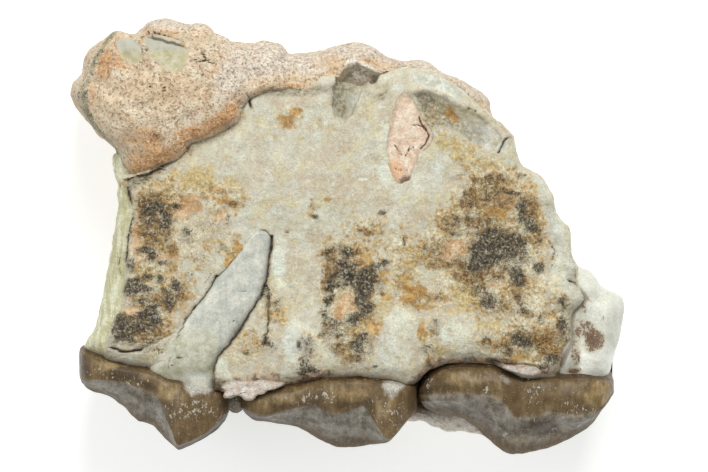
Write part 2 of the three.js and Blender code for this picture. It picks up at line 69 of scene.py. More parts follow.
STONE_EDGE = [
    (19.0, -2.2), (18.9, 0.2), (17.8, 2.0), (17.2, 4.1), (15.9, 5.5), (14.7, 6.9), (14.0, 8.7),
    (12.9, 9.9), (12.5, 10.6), (12.2, 11.2), (11.9, 12.0), (11.0, 12.9), (10.3, 13.5), (9.4, 14.0),
    (8.6, 14.2), (7.8, 14.7), (7.0, 15.1), (6.0, 15.2), (5.0, 15.15), (4.0, 15.3), (3.0, 15.7),
    (2.0, 16.3), (1.0, 16.55), (0.0, 16.5), (-1.0, 16.3), (-2.0, 15.95), (-3.0, 15.85),
    (-4.0, 15.8), (-5.1, 15.85), (-5.6, 16.4), (-6.3, 16.75), (-7.2, 16.8), (-8.0, 16.65),
    (-9.0, 16.65), (-10.0, 16.6), (-10.6, 17.0), (-11.4, 17.4), (-12.0, 18.0), (-12.8, 18.25),
    (-13.6, 18.15), (-14.2, 18.3), (-15.0, 18.6), (-15.9, 18.65), (-17.0, 18.4), (-17.7, 17.9),
    (-18.3, 17.5), (-18.9, 17.6), (-19.4, 17.8), (-20.1, 17.7), (-20.9, 17.0), (-22.0, 16.1),
    (-22.4, 15.0), (-22.6, 14.0), (-23.3, 13.3), (-23.7, 12.6), (-23.7, 12.0), (-23.2, 11.0),
    (-22.2, 9.9), (-21.3, 8.8), (-20.6, 8.2), (-19.9, 7.4), (-19.6, 6.2), (-19.0, 5.2),
    (-18.8, 3.0), (-18.6, -1.0), (-18.9, -5.0), (-17.5, -8.6), (-12.0, -10.4), (-10.9, -12.2),
    (-10.4, -14.3), (-9.6, -14.9), (-8.9, -14.4), (-8.0, -12.2), (-4.0, -11.4), (1.5, -13.4),
    (4.4, -15.6), (5.2, -15.9), (6.2, -15.8), (7.5, -16.2), (8.6, -16.7),
    (9.8, -16.6), (11.0, -16.9), (12.1, -17.0), (14.6, -15.0), (17.6, -11.5), (18.8, -7.0),
]
STONE_CENTRE = (-3.5, 3.5)

# Where the lobe laps over the bone, then round the outside of the stone
LOBE = [
    (-19.6, 5.0), (-18.0, 5.2), (-16.3, 6.0), (-15.0, 6.7), (-14.1, 7.4), (-13.2, 8.3),
    (-11.6, 9.0), (-10.4, 9.6), (-9.7, 10.3), (-9.2, 11.5), (-8.3, 12.4), (-6.5, 12.8),
    (-5.0, 12.9), (-3.2, 13.0), (-2.5, 13.6), (-0.9, 14.0), (-0.3, 14.9), (0.9, 15.5),
    (2.0, 14.9), (3.0, 14.4), (4.0, 14.5), (5.0, 17.5), (-10.0, 21.0), (-26.0, 20.0), (-26.0, 5.0),
]

# The weathered skin down the lobe's left side. The loop closes it through the lobe
RIND = [
    (-19.7, 17.9), (-20.9, 16.2), (-21.5, 15.0), (-22.0, 14.0), (-22.4, 12.6), (-22.2, 11.5),
    (-22.0, 10.5), (-21.5, 9.5), (-20.9, 8.7), (-20.1, 8.1), (-19.5, 7.0), (-18.9, 5.6),
]
RIND_LOOP = RIND + [(-17.0, 5.0), (-17.0, 19.0)]

CHIP_LEFT = [
    (-17.4, 16.3), (-17.6, 17.2), (-18.2, 17.3), (-19.1, 17.1), (-19.7, 16.7), (-19.5, 16.0),
    (-19.1, 15.4), (-18.6, 15.0), (-18.0, 14.8), (-17.5, 15.2),
]
CHIP_RIGHT = [
    (-13.6, 15.6), (-13.8, 16.3), (-14.3, 16.6), (-15.5, 16.9), (-16.5, 17.2), (-17.4, 17.5),
    (-17.2, 16.6), (-16.9, 15.9), (-16.3, 15.2), (-15.8, 14.6), (-15.0, 14.1), (-14.2, 14.1),
    (-13.7, 14.7),
]

# Cracks: points and half width
STONE_CRACKS = [
    ([(-17.9, 17.8), (-17.3, 17.65), (-16.3, 17.4), (-15.4, 17.1), (-14.2, 16.7)], 0.11),
    ([(-17.55, 17.4), (-17.3, 16.6), (-17.1, 16.1), (-16.8, 15.7)], 0.07),
    ([(-12.95, 15.15), (-12.4, 15.0), (-12.0, 15.1), (-12.2, 15.6)], 0.07),
    ([(-12.0, 15.1), (-11.5, 14.8), (-11.2, 14.85)], 0.05),
    ([(-15.5, 12.9), (-15.4, 12.2)], 0.07),
    ([(-16.9, 13.2), (-16.6, 12.6), (-16.4, 12.1), (-16.0, 11.8)], 0.04),
    # This line is painted shade in the gap under the top edge
    ([(-5.0, 15.7), (-4.0, 15.6), (-2.4, 15.75)], 0.12),
]

# Patches of tint: (x, y, half width, half height, turn in degrees, strength)
STONE_ORANGE = [
    (-20.6, 15.4, 0.9, 0.9, 0, 1.0), (-20.7, 14.2, 0.8, 1.0, 0, 0.9), (-19.5, 15.0, 1.1, 0.6, -40, 0.8),
    (-21.7, 12.4, 0.5, 1.6, 0, 0.7), (-17.4, 8.6, 2.6, 1.2, 0, 0.65), (-16.5, 8.3, 0.7, 1.0, 20, 0.6),
    (-17.6, 6.8, 2.2, 1.0, 25, 0.7), (2.3, 14.85, 1.2, 0.4, -28, 0.9), (-1.4, 14.3, 0.9, 0.4, 10, 0.6),
    (-4.4, 12.95, 1.4, 0.25, 0, 0.9), (-15.6, 17.45, 2.0, 0.4, -12, 0.6), (-13.7, 9.3, 1.4, 0.5, 20, 0.5),
    (-12.0, 16.5, 1.6, 1.0, 0, 0.25), (8.6, 13.9, 1.2, 0.3, -38, 0.5), (11.0, 12.0, 1.6, 0.3, -40, 0.3),
    (-11.3, 10.0, 1.5, 0.6, 38, 0.6),
]
STONE_LILAC = [
    (-10.0, 13.2, 1.7, 2.2, -20, 0.8), (-7.3, 14.9, 3.0, 1.5, 0, 0.95), (0.8, 16.0, 2.6, 0.7, 0, 1.0),
    (-3.0, 14.6, 1.6, 1.0, 0, 0.8), (6.0, 14.9, 2.4, 0.5, -8, 0.9), (-13.2, 10.1, 1.2, 0.7, 25, 0.6),
    (-15.0, 18.2, 2.4, 0.5, 0, 0.7), (9.8, 13.2, 2.6, 0.5, -40, 0.95), (-17.0, 14.9, 0.8, 0.5, 0, 0.5),
    # The last patch is partly the grey tone of the stone below the teeth and partly painted light where the
    # crowns shade it
    (8.5, -15.8, 4.4, 2.0, 0, 1.0),
]
# Dark patches: partly dark grey stone, partly painted shade in small hollows, in the pit, under the top
# edge's lip and between the left and middle molars
STONE_DARK_AND_PAINTED_SHADE = [
    (-18.8, 7.5, 0.3, 0.5, -10, 0.9), (-22.4, 12.3, 0.4, 0.3, 0, 0.9), (-12.5, 13.9, 0.8, 0.12, 0, 0.6),
    (-16.1, 8.5, 0.35, 0.9, 15, 0.4), (-19.9, 17.5, 0.5, 0.2, 50, 0.9), (-9.6, -13.6, 1.4, 1.6, 0, 0.95),
    (2.7, 13.8, 0.6, 0.4, -20, 1.1), (0.0, 15.2, 0.35, 0.35, 0, 0.5), (-7.2, 15.4, 0.2, 0.12, 0, 0.6),
    (-16.4, 8.9, 0.3, 0.5, 0, 0.4), (-10.2, 9.9, 0.8, 0.25, 45, 0.3), (-3.6, 15.65, 1.5, 0.15, 3, 0.9),
    (-17.8, 7.4, 0.2, 0.3, 0, 0.4), (-0.9, 15.5, 0.4, 0.4, 0, 0.4),
]
STONE_PIT = [
    (-0.2, 15.3), (0.6, 15.45), (1.3, 15.25), (2.1, 14.8), (3.0, 14.4), (3.4, 13.8), (2.6, 12.9),
    (1.0, 12.6), (-0.4, 13.0), (-0.4, 14.3),
]

# Swells and hollows: (x, y, half width, half height, turn in degrees, lift)
STONE_BELLS = [
    (-18.4, 11.8, 4.0, 4.0, 0, 0.45), (-8.2, 15.0, 2.6, 1.2, 0, 0.35), (-13.2, 10.0, 1.2, 0.8, 25, -0.5),
    (-16.3, 8.4, 0.5, 1.0, 15, -0.35), (-18.8, 7.5, 0.4, 0.6, 0, -0.35), (-15.2, 17.9, 2.6, 0.6, -8, 0.35),
    (-12.6, 17.6, 1.2, 0.7, 0, 0.3), (-11.2, 15.4, 0.8, 1.6, 20, -0.3), (-3.0, 14.6, 1.6, 0.7, 0, -0.4),
]
STRIP_BELLS = [
    (0.8, 15.9, 2.6, 0.9, 0, 2.4), (2.2, 15.1, 1.3, 0.5, -25, 1.2), (6.0, 14.9, 2.4, 0.6, -8, 1.0),
    (10.0, 12.9, 3.0, 0.6, -40, 1.2), (1.3, 14.0, 1.4, 0.9, -15, 1.4),
]

lattice = np.random.default_rng(11).random((48, 48, 48))


def noise(points, size, octaves=4, shift=0.0):
    """Cloudy noise from about -1 to 1: random values on a lattice, blended smoothly between its
    corners, plus the same at half the size and half the height for each further octave."""
    total = np.zeros(len(points))
    height = 1.0
    for _ in range(octaves):
        place = points / size + shift
        cell = np.floor(place).astype(int)
        share = place - cell
        share = share * share * (3 - 2 * share)
        for corner in np.ndindex(2, 2, 2):
            weight = np.prod(np.where(corner, share, 1 - share), axis=1)
            i, j, k = ((cell + corner) % len(lattice)).T
            total += height * weight * (2 * lattice[i, j, k] - 1)
        size, height, shift = size / 2, height / 2, shift + 7.3
    return total


def flat_noise(x, y, size, octaves, shift):
    """The same noise over the plane at level 0."""
    at = np.stack([x.ravel(), y.ravel(), np.zeros(x.size)], 1)
    return noise(at, size, octaves, shift).reshape(x.shape)


def ramp(low, high, value):
    """A smooth step: 0 up to low, 1 from high, and 3t^2 - 2t^3 between them."""
    share = np.clip((value - low) / (high - low), 0, 1)
    return share * share * (3 - 2 * share)


def spread(x, y, middle_x, middle_y, half_width, half_height, turn):
    """Squared distance from an oval's middle, u^2 + v^2, along its own turned axes and in its own
    half widths: 1 on the oval."""
    c, s = math.cos(math.radians(turn)), math.sin(math.radians(turn))
    u = ((x - middle_x) * c + (y - middle_y) * s) / half_width
    v = ((y - middle_y) * c - (x - middle_x) * s) / half_height
    return u * u + v * v


def bells(features, x, y):
    """The sum of bell-shaped swells, lift * exp(-(u^2 + v^2))."""
    total = np.zeros(np.shape(x))
    for *oval, lift in features:
        total += lift * np.exp(-spread(x, y, *oval))
    return total


def patches(features, x, y):
    """How far tint covers a point, 0 to 1: what the flat-topped patches leave uncovered,
    1 - strength * exp(-(u^2 + v^2)^1.5) each, is multiplied together."""
    bare = np.ones(np.shape(x))
    for *oval, strength in features:
        bare *= 1 - strength * np.exp(-(spread(x, y, *oval) ** 1.5))
    return 1 - bare


def from_line(line, x, y):
    """Distance to the nearest of a line's straight stretches, in mm."""
    nearest = np.full(np.shape(x), np.inf)
    for (ax, ay), (bx, by) in zip(line[:-1], line[1:]):
        dx, dy = bx - ax, by - ay
        share = np.clip(((x - ax) * dx + (y - ay) * dy) / (dx * dx + dy * dy), 0, 1)
        nearest = np.minimum(nearest, np.hypot(x - ax - share * dx, y - ay - share * dy))
    return nearest


def grooves(cracks, x, y):
    """How deep in a crack a point lies: the sum of exp(-(distance / half width)^2) over them."""
    depth = np.zeros(np.shape(x))
    for line, half_width in cracks:
        depth += np.exp(-(from_line(line, x, y) / half_width) ** 2)
    return depth


def inside(outline, x, y):
    """How deep a point lies inside an outline, in mm, negative outside: the distance to its line,
    with the sign that counting the edges crossed on the way to the right gives."""
    crossings = np.zeros(np.shape(x), int)
    for (ax, ay), (bx, by) in zip(outline, outline[1:] + outline[:1]):
        if ay == by:
            continue
        crossings += ((ay > y) != (by > y)) & (x < (bx - ax) * (y - ay) / (by - ay) + ax)
    return np.where(crossings % 2, 1, -1) * from_line(outline + outline[:1], x, y)


def rounded(points, steps):
    """A smooth closed line through the points, as one row of steps for each point: each stretch
    is a cubic whose slopes at its ends come from the neighbouring points."""
    t = (np.arange(steps) / steps).reshape(-1, *[1] * (points.ndim - 1))
    before, here, after, beyond = (np.roll(points, turn, 0)[:, None] for turn in (1, 0, -1, -2))
    return 0.5 * (
        2 * here + (after - before) * t
        + (2 * before - 5 * here + 4 * after - beyond) * t ** 2
        + (3 * here - before - 3 * after + beyond) * t ** 3
    )


def radius_of(edge, centre):
    """Radius of the smooth line round an edge, as a function of the angle round the centre."""
    along = rounded(np.array(edge), 10).reshape(-1, 2) - centre
    angle = np.arctan2(along[:, 1], along[:, 0]) % math.tau
    order = np.argsort(angle)
    radius = np.hypot(along[:, 0], along[:, 1])
    return lambda a: np.interp(a % math.tau, angle[order], radius[order], period=math.tau)


def squared(wave, power):
    """A sine or cosine w bent to sign(w) |w|^(2/n), which makes a squared oval of their circle."""
    return np.sign(wave) * abs(wave) ** (2 / power)


def slab(edge, centre, rim, top, bottom, power, cells, wall_rows,
         face=0.93, gridded_back=False, grow=0.0):
    """Closed surface of a slab. A square grid is bent to a disc: the larger of |a| and |b| is the
    share of the radius, and the smaller sets the angle. At share s of the way out to the edge the
    two faces stand (1 - s^n)^(1/n) of their height off the rim, n being the power. Rows of a wall
    run on from the grid's border, at the share that face gives, over the rim, to the back. The
    back is a grid as well, or a fan. The edge can be made to grow outward by some mm."""
    line = radius_of(edge, centre)

    def radius(angle):
        return line(angle) + grow

    a, b = np.meshgrid(*[np.linspace(-1, 1, cells + 1)] * 2, indexing="ij")
    reach = np.maximum(abs(a), abs(b))
    flat = np.where(abs(a) >= abs(b), a, b)
    flat = np.where(flat == 0, 1, flat)
    turn = np.where(abs(a) >= abs(b), b / flat, 2 - a / flat) * math.pi / 4
    turn = np.where(flat < 0, turn + math.pi, turn)
    border = np.concatenate([
        np.arange(cells) * (cells + 1), cells * (cells + 1) + np.arange(cells),
        (cells - np.arange(cells)) * (cells + 1) + cells, cells - np.arange(cells),
    ])

    def place(share, angle, stand):
        x = centre[0] + share * radius(angle) * np.cos(angle)
        y = centre[1] + share * radius(angle) * np.sin(angle)
        level = rim(x, y)
        height = np.where(stand >= 0, top(x, y), bottom(x, y))
        return np.stack([x, y, level + (height - level) * abs(stand)], -1)

    def standing(share):
        return (1 - share ** power) ** (1 / power)

    swing = np.linspace(0, math.pi, 4001)
    out, lift = squared(np.sin(swing), power), squared(np.cos(swing), power)
    wall = ((swing < math.pi / 2) & (out > face)) | ((swing >= math.pi / 2) & (out > BACK_SHARE))
    out, lift = out[wall], lift[wall]
    stretches = np.hypot(USUAL_RADIUS * np.diff(out), USUAL_HALF_HEIGHT * np.diff(lift))
    length = np.concatenate([[0], np.cumsum(stretches)])
    steps = np.linspace(0, length[-1], wall_rows + 1)[1:]
    out, lift = np.interp(steps, length, out), np.interp(steps, length, lift)

    grid = place(reach * face, turn, standing(reach * face)).reshape(-1, 3)
    rows = [place(s, turn.ravel()[border], np.full(len(border), h)) for s, h in zip(out, lift)]
    count = len(border)
    cell = (np.arange(cells)[:, None] * (cells + 1) + np.arange(cells)).ravel()
    quads = [np.stack([cell, cell + cells + 1, cell + cells + 2, cell + 1], 1)]
    ring = border
    start = len(grid)
    for _ in rows:
        below = start + np.arange(count)
        quads.append(np.stack([below, np.roll(below, -1), np.roll(ring, -1), ring], 1))
        ring, start = below, start + count
    points = [grid, *rows]
    if gridded_back:
        inner = np.ones(len(grid), bool)
        inner[border] = False
        share = reach * BACK_SHARE
        under = place(share, turn, -standing(share)).reshape(-1, 3)[inner]
        index = np.empty(len(grid), int)
        index[border] = ring
        index[inner] = start + np.arange(inner.sum())
        quads.append(index[quads[0][:, ::-1]])
        points.append(under)
        triangles = np.empty((0, 3), int)
    else:
        middle = np.array([[*centre, float(bottom(np.array(centre[0]), np.array(centre[1])))]])
        points.append(middle)
        triangles = np.stack([np.roll(ring, -1), ring, np.full(count, start)], 1)
    return np.concatenate(points), np.concatenate(quads), triangles


def outward(points, quads):
    """The direction that the surface faces at each point: the sum of its faces' cross products,
    one unit long."""
    p = points[quads]
    across = np.cross(p[:, 2] - p[:, 0], p[:, 3] - p[:, 1])
    facing = np.stack([
        sum(np.bincount(quads[:, k], across[:, axis], len(points)) for k in range(4))
        for axis in range(3)
    ], 1)
    return facing / np.maximum(np.linalg.norm(facing, axis=1), 1e-9)[:, None]


def piece(name, points, quads, triangles, **fields):
    """A mesh in metres from points in mm. Each field is kept as one value a point, for the
    material to read."""
    mesh = bpy.data.meshes.new(name)
    corners = np.concatenate([quads.ravel(), triangles.ravel()]).astype(np.int32)
    starts = np.concatenate([
        np.arange(len(quads)) * 4, len(quads) * 4 + np.arange(len(triangles)) * 3,
    ]).astype(np.int32)
    mesh.vertices.add(len(points))
    mesh.vertices.foreach_set("co", (points * MM).astype(np.float32).ravel())
    mesh.loops.add(len(corners))
    mesh.loops.foreach_set("vertex_index", corners)
    mesh.polygons.add(len(starts))
    mesh.polygons.foreach_set("loop_start", starts)
    mesh.update(calc_edges=True)
    mesh.validate()
    mesh.polygons.foreach_set("use_smooth", np.ones(len(mesh.polygons), bool))
    for field, values in fields.items():
        kept = mesh.attributes.new(field, "FLOAT", "POINT")
        kept.data.foreach_set("value", np.asarray(values, np.float32))
    made = bpy.data.objects.new(name, mesh)
    bpy.context.scene.collection.objects.link(made)
    return made


def lobe_depth(x, y):
    """How far inside the lobe a point lies. The lobe laps a little over its outline, and noise
    makes its edge ragged."""
    return inside(LOBE, x, y) + LOBE_LAP + 0.16 * flat_noise(x, y, 1.3, 3, 4.1)


def behind_teeth(x, y):
    """How far the stone has sunk behind the teeth, 0 above them to 1, and how much stands of what
    shows of it there, exp(-u^4 - v^4) each: the lump below the middle and right molars, and the
    wedge between the left and middle ones."""
    lump = np.exp(-(((x - LUMP_AT[0]) / 4.4) ** 4) - ((y - LUMP_AT[1]) / 2.4) ** 4)
    wedge = np.exp(-(((x - WEDGE_AT[0]) / 1.2) ** 4) - ((y - WEDGE_AT[1]) / 2.0) ** 4)
    return ramp(-5, -8, y), lump, wedge


def stone_height(x, y):
    """The stone's front: flat under the bone, a strip along the top edge, and the lobe, which
    climbs steeply along the bone and rounds over like a quarter circle."""
    depth = lobe_depth(x, y)
    width = 0.8 + 1.5 * ramp(-8, -11, x) - 0.9 * ramp(-14, -17, x)
    brow = np.sqrt(1 - (1 - np.clip(depth / width, 0, 1)) ** 2)
    crest = LOBE_TOP - 0.22 * np.maximum(0, x + 9) + bells(STONE_BELLS, x, y)
    outer = ramp(0.1, -0.9, inside(RIND_LOOP, x, y)) * ramp(-17, -19, x)
    crest = crest - 0.8 * outer
    low = STONE_UNDER_BONE + bells(STRIP_BELLS, x, y)
    high = low + (LOBE_FOOT - low) * ramp(-0.6, 0.0, depth) + (crest - LOBE_FOOT) * brow
    front = np.where(depth > -0.5, np.maximum(high, low), low)
    behind, lump, wedge = behind_teeth(x, y)
    return front + (STONE_BEHIND_TEETH - front) * behind + 7.6 * lump + 9.0 * wedge


def stone_rim(x, y):
    """Level of the stone's widest edge: half way up, but low behind the teeth."""
    behind, lump, wedge = behind_teeth(x, y)
    return STONE_RIM + (RIM_BEHIND_TEETH - STONE_RIM) * behind + 3.8 * lump + 5.0 * wedge


def stone_lumps(points):
    """How far the stone's broad lumps and smaller knobs swell it along its own facing."""
    return 0.3 * noise(points, 5.0, 2, 2.0) + 0.13 * noise(points, 1.4, 4, 5.0)


def stone_front(x, y):
    """Level of the slab's front, once it has sunk towards the rim near its edge, with its broad
    lumps on it."""
    right, up = x - STONE_CENTRE[0], y - STONE_CENTRE[1]
    share = np.hypot(right, up) / radius_of(STONE_EDGE, STONE_CENTRE)(np.arctan2(up, right))
    stand = (1 - np.minimum(share, 1) ** STONE_POWER) ** (1 / STONE_POWER)
    level = stone_rim(x, y) + (stone_height(x, y) - stone_rim(x, y)) * stand
    at = np.stack([x.ravel(), y.ravel(), level.ravel()], 1)
    return level + stone_lumps(at).reshape(x.shape)


class Value:
    """A number worked out by a shader. Python's operators on it add its Math nodes."""

    def __init__(self, finish, socket):
        self.finish = finish
        self.socket = socket

    def math(self, operation, other):
        return self.finish.node("ShaderNodeMath", {"operation": operation}, [self, other])

    def __add__(self, other):
        return self.math("ADD", other)

    def __sub__(self, other):
        return self.math("SUBTRACT", other)

    def __mul__(self, other):
        return self.math("MULTIPLY", other)

    def above(self, low, high):
        """A smooth step from 0 at low to 1 at high."""
        return self.finish.node(
            "ShaderNodeMapRange", {"interpolation_type": "SMOOTHSTEP"}, [self, low, high, 0.0, 1.0]
        )


class Finish:
    """A material, with short ways to add what its shader is worked out from."""

    def __init__(self, name):
        self.material = bpy.data.materials.new(name)
        self.material.use_nodes = True
        self.tree = self.material.node_tree
        self.shader = self.tree.nodes["Principled BSDF"]
        place = self.node("ShaderNodeTexCoord", output="Object")
        self.place = self.node("ShaderNodeVectorMath", {"operation": "SCALE"}, {0: place, 3: 1 / MM})

    def node(self, kind, settings=None, inputs=None, output=0):
        """Adds a node, sets its settings, then fills its sockets with values or links."""
        made = self.tree.nodes.new(kind)
        for name, value in (settings or {}).items():
            setattr(made, name, value)
        named = inputs.items() if isinstance(inputs, dict) else enumerate(inputs or [])
        for key, value in named:
            if isinstance(value, Value):
                self.tree.links.new(value.socket, made.inputs[key])
            else:
                made.inputs[key].default_value = value
        return Value(self, made.outputs[output])

    def field(self, name):
        """A value that the mesh keeps on its points."""
        return self.node("ShaderNodeAttribute", {"attribute_name": name}, output="Fac")

    def cloud(self, size, detail=3.0, rough=0.6, shift=(0.0, 0.0, 0.0), stretch=(1.0, 1.0, 1.0)):
        """Noise of a size in mm, from 0 to 1 round a middle of 0.5."""
        moved = self.node(
            "ShaderNodeMapping", {}, {"Vector": self.place, "Location": shift, "Scale": stretch}
        )
        return self.node("ShaderNodeTexNoise", {}, {
            "Vector": moved, "Scale": 1 / size, "Detail": detail, "Roughness": rough,
        })

    def mix(self, share, first, second):
        """The second colour over the first, by a share of 0 to 1."""
        return self.node(
            "ShaderNodeMix", {"data_type": "RGBA", "blend_type": "MIX", "clamp_factor": True},
            {0: share, 6: first, 7: second}, output=2,
        )

    def shade(self, colour, amount):
        """A colour made darker or lighter by a factor."""
        return self.node("ShaderNodeVectorMath", {"operation": "SCALE"}, {0: colour, 3: amount})

    def wear(self, colour, roughness, relief, depth):
        """Joins the colour, the roughness and a relief of the given depth in mm to the shader."""
        self.tree.links.new(colour.socket, self.shader.inputs["Base Color"])
        self.tree.links.new(roughness.socket, self.shader.inputs["Roughness"])
        bump = self.node("ShaderNodeBump", {}, {"Strength": 1.0, "Distance": depth * MM, "Height": relief})
        self.tree.links.new(bump.socket, self.shader.inputs["Normal"])


def tint(red, green, blue):
    """A screen colour from 0 to 255 as the linear colour that a shader takes."""
    return (*[((v / 255 + 0.055) / 1.055) ** 2.4 for v in (red, green, blue)], 1.0)


def dress(made, finish, slot, *nodes):
    """Gives a piece its material, and says what it rides on and which nodes it stands for. The slot is not
    used.
    """
    made.data.materials.append(finish.material)
    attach(made, "root")
    if nodes:
        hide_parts(*nodes)


def siltstone_finish():
    """Sand-fine stone: tan and pink clouds under dark pits and pale grains, lilac where it thins and as
    painted light on the walls along the top edge.
    """
    f = Finish("pink_siltstone")
    grain = f.cloud(0.15, 2.0, 0.7)
    sand = f.cloud(0.32, 3.0, 0.7, (2.0, 6.0, 5.0))
    clot = f.cloud(0.8, 4.0, 0.62, (3.0, 1.0, 5.0))
    broad = f.cloud(3.2, 3.0, 0.55, (7.0, 2.0, 1.0))
    colour = f.mix(clot.above(0.36, 0.64), tint(202, 182, 152), tint(220, 206, 180))
    colour = f.mix(broad.above(0.42, 0.66) * 0.4, colour, tint(208, 172, 130))
    orange = (f.field("orange") + (clot - 0.5) * 1.1 + (sand - 0.5) * 0.8).above(0.25, 0.95)
    colour = f.mix(orange * 0.9, colour, f.mix(sand.above(0.4, 0.6), tint(182, 132, 80), tint(202, 156, 106)))
    # Lilac is the stone's tone; on the walls along the top edge it is also painted light
    lilac = (f.field("lilac") + (clot - 0.5) * 0.9 + (sand - 0.5) * 0.4).above(0.2, 0.9)
    colour = f.mix(
        lilac * 0.9, colour, f.mix(sand.above(0.38, 0.6), tint(194, 182, 164), tint(216, 206, 192))
    )
    pink = f.cloud(0.9, 3.0, 0.6, (1.0, 8.0, 3.0)).above(0.52, 0.68) * 0.5
    colour = f.mix(pink, colour, tint(204, 166, 136))
    cream = f.cloud(0.6, 3.0, 0.6, (4.0, 2.0, 8.0)).above(0.56, 0.7) * 0.5
    colour = f.mix(cream, colour, tint(214, 206, 184))
    rind = (f.field("rind") + (clot - 0.5) * 1.5 + (sand - 0.5) * 1.2).above(0.4, 0.8)
    colour = f.mix(rind * 0.8, colour, tint(150, 146, 118))
    dark_rind = (f.field("rind") + (sand - 0.5) * 2.6 + (clot - 0.5) * 1.6).above(0.8, 1.05)
    colour = f.mix(
        dark_rind * 0.85, colour, f.mix(grain.above(0.4, 0.56), tint(52, 52, 44), tint(132, 128, 104))
    )
    # Dark: partly dark stone, partly painted shade in hollows and between the left and middle molars
    dark = (f.field("dark") + (sand - 0.5) * 1.8 + (clot - 0.5) * 0.8).above(0.4, 0.85)
    colour = f.mix(dark * 0.85, colour, tint(80, 76, 62))
    # The pit's pale grey tint is partly its own grey tone and partly painted light against the shade in it
    hollow = (f.field("hollow") + (sand - 0.5) * 0.6).above(0.3, 0.7)
    colour = f.mix(
        hollow * 0.9, colour, f.mix(clot.above(0.4, 0.6), tint(206, 200, 184), tint(228, 223, 210))
    )
    colour = f.shade(colour, (grain - 0.5) * 1.0 + (sand - 0.5) * 0.7 + (clot - 0.5) * 0.6 + 1.02)
    pit = f.cloud(0.26, 3.0, 0.6, (4.0, 4.0, 4.0)).above(0.55, 0.68)
    colour = f.mix(pit * 0.5, colour, tint(152, 116, 80))
    pale = f.cloud(0.22, 3.0, 0.6, (5.0, 6.0, 2.0)).above(0.56, 0.68)
    colour = f.mix(pale * 0.55, colour, tint(236, 226, 208))
    deep = f.cloud(0.34, 2.0, 0.5, (8.0, 1.0, 4.0)).above(0.66, 0.72)
    colour = f.mix(deep * 0.35, colour, tint(132, 100, 68))
    # Painted light: the stone below the middle and right molars is lightened where the crowns shade it
    colour = f.mix(
        f.field("light") * 0.6, colour, f.mix(clot.above(0.4, 0.6), tint(214, 208, 196), tint(240, 236, 226))
    )
    crack = f.field("crack").above(0.3, 0.7)
    colour = f.mix(crack * 0.9, colour, tint(52, 44, 36))
    relief = grain * 0.7 + sand * 0.7 + clot * 0.8 - pit * 0.6 - deep * 0.5 - crack * 0.6
    f.wear(colour, grain * 0.1 + 0.86, relief, 0.15)
    return f


def make_siltstone():
    """The stone's slab, roughened along its own facing by cloudy noise and small pits, worn flat
    at the back, with pockets where the bone chips sit."""
    points, quads, triangles = slab(
        STONE_EDGE, STONE_CENTRE, stone_rim, stone_height, lambda x, y: np.full(np.shape(x), -STONE_WORN),
        STONE_POWER, 200, 18, gridded_back=True,
    )
    facing = outward(points, quads)
    rough = stone_lumps(points)
    low_wall = ramp(6.5, 3.5, points[:, 2]) * ramp(0.9, 0.5, abs(facing[:, 2]))
    rough = rough + 0.45 * low_wall * noise(points, 3.2, 3, 4.0)
    pits = np.clip(noise(points, 0.9, 3, 9.0) - 0.45, 0, 1)
    x, y = points.T[:2]
    front = ramp(0.3, 0.7, facing[:, 2])
    under_bone = front * ramp(0.2, -0.5, inside(LOBE, x, y)) * ramp(16.5, 15.5, np.hypot(x, y))
    points = points + facing * ((rough - 0.3 * pits) * (1 - 0.8 * under_bone))[:, None]
    x, y = points.T[:2]
    crack = grooves(STONE_CRACKS, x, y) * front
    u, v = x + 0.12 * noise(points, 0.7, 3, 3.0), y + 0.12 * noise(points, 0.7, 3, 6.0)
    pockets = sum(ramp(0.0, 0.12, inside(chip, u, v)) for chip in (CHIP_LEFT, CHIP_RIGHT))
    points[:, 2] -= 0.3 * np.clip(crack, 0, 1) + 0.5 * pockets * front
    points[:, 2] = np.maximum(points[:, 2], REST_LEVEL)
    depth = lobe_depth(x, y)
    brow = ramp(1.7, 0.7, depth) * ramp(-0.6, 0.0, depth) * ramp(-8.0, -10.0, x)
    outer = ramp(0.0, -0.4, inside(RIND_LOOP, x, y)) * ramp(13.6, 12.2, y)
    rind = np.exp(-(from_line(RIND, x, y) / 0.3) ** 2) + 0.55 * outer
    shown_rind = ramp(-17.5, -19.0, x) * (0.35 + 0.65 * ramp(-0.2, 0.4, facing[:, 2]))
    # Painted shade on the stone in the gap between the left and middle molars
    gap = ramp(1.3, 0.9, abs(x - WEDGE_AT[0])) * ramp(-11.5, -12.5, y)
    side = 1 - front
    made = piece(
        "siltstone_block", points, quads, triangles,
        orange=np.clip(patches(STONE_ORANGE, x, y) * front + brow * front + 0.25 * side, 0, 1),
        # On the walls along the top edge this lilac is painted light, as of a rim lit from above
        lilac=np.clip(patches(STONE_LILAC, x, y) + 0.4 * side * ramp(4, 12, y), 0, 1),
        rind=np.clip(rind * shown_rind, 0, 1),
        dark=np.maximum(patches(STONE_DARK_AND_PAINTED_SHADE, x, y) * front, 0.95 * gap),
        # Grey tone of the pit, partly painted light against its shade
        hollow=0.85 * ramp(0.0, 0.3, inside(STONE_PIT, u, v)),
        # Painted light on the stone below the middle and right molars, which the crowns shade
        light=ramp(4.5, 3.5, abs(x - LUMP_AT[0])) * ramp(-13.5, -14.5, y),
        crack=np.clip(crack, 0, 1),
    )
    dress(made, siltstone_finish(), "siltstone", "siltstone")


make_siltstone()


# The jaw bone: the outer wall of the jaw, grey-cream and smooth in the middle, etched and stained
# with iron and manganese at both sides. It was broken along the top and the right, and the break
# lays bare one root of the left molar. The stone holds it from behind.

BONE_CENTRE = (-0.5, -0.6)
BONE_RIM = 11.2
SOCKET_FLOOR = 3.0
PLATE_BACK = 9.4
CRACK_DEPTH = 0.35
TROUGH_DEPTH = 3.2
POCKET_DEPTH = 1.6

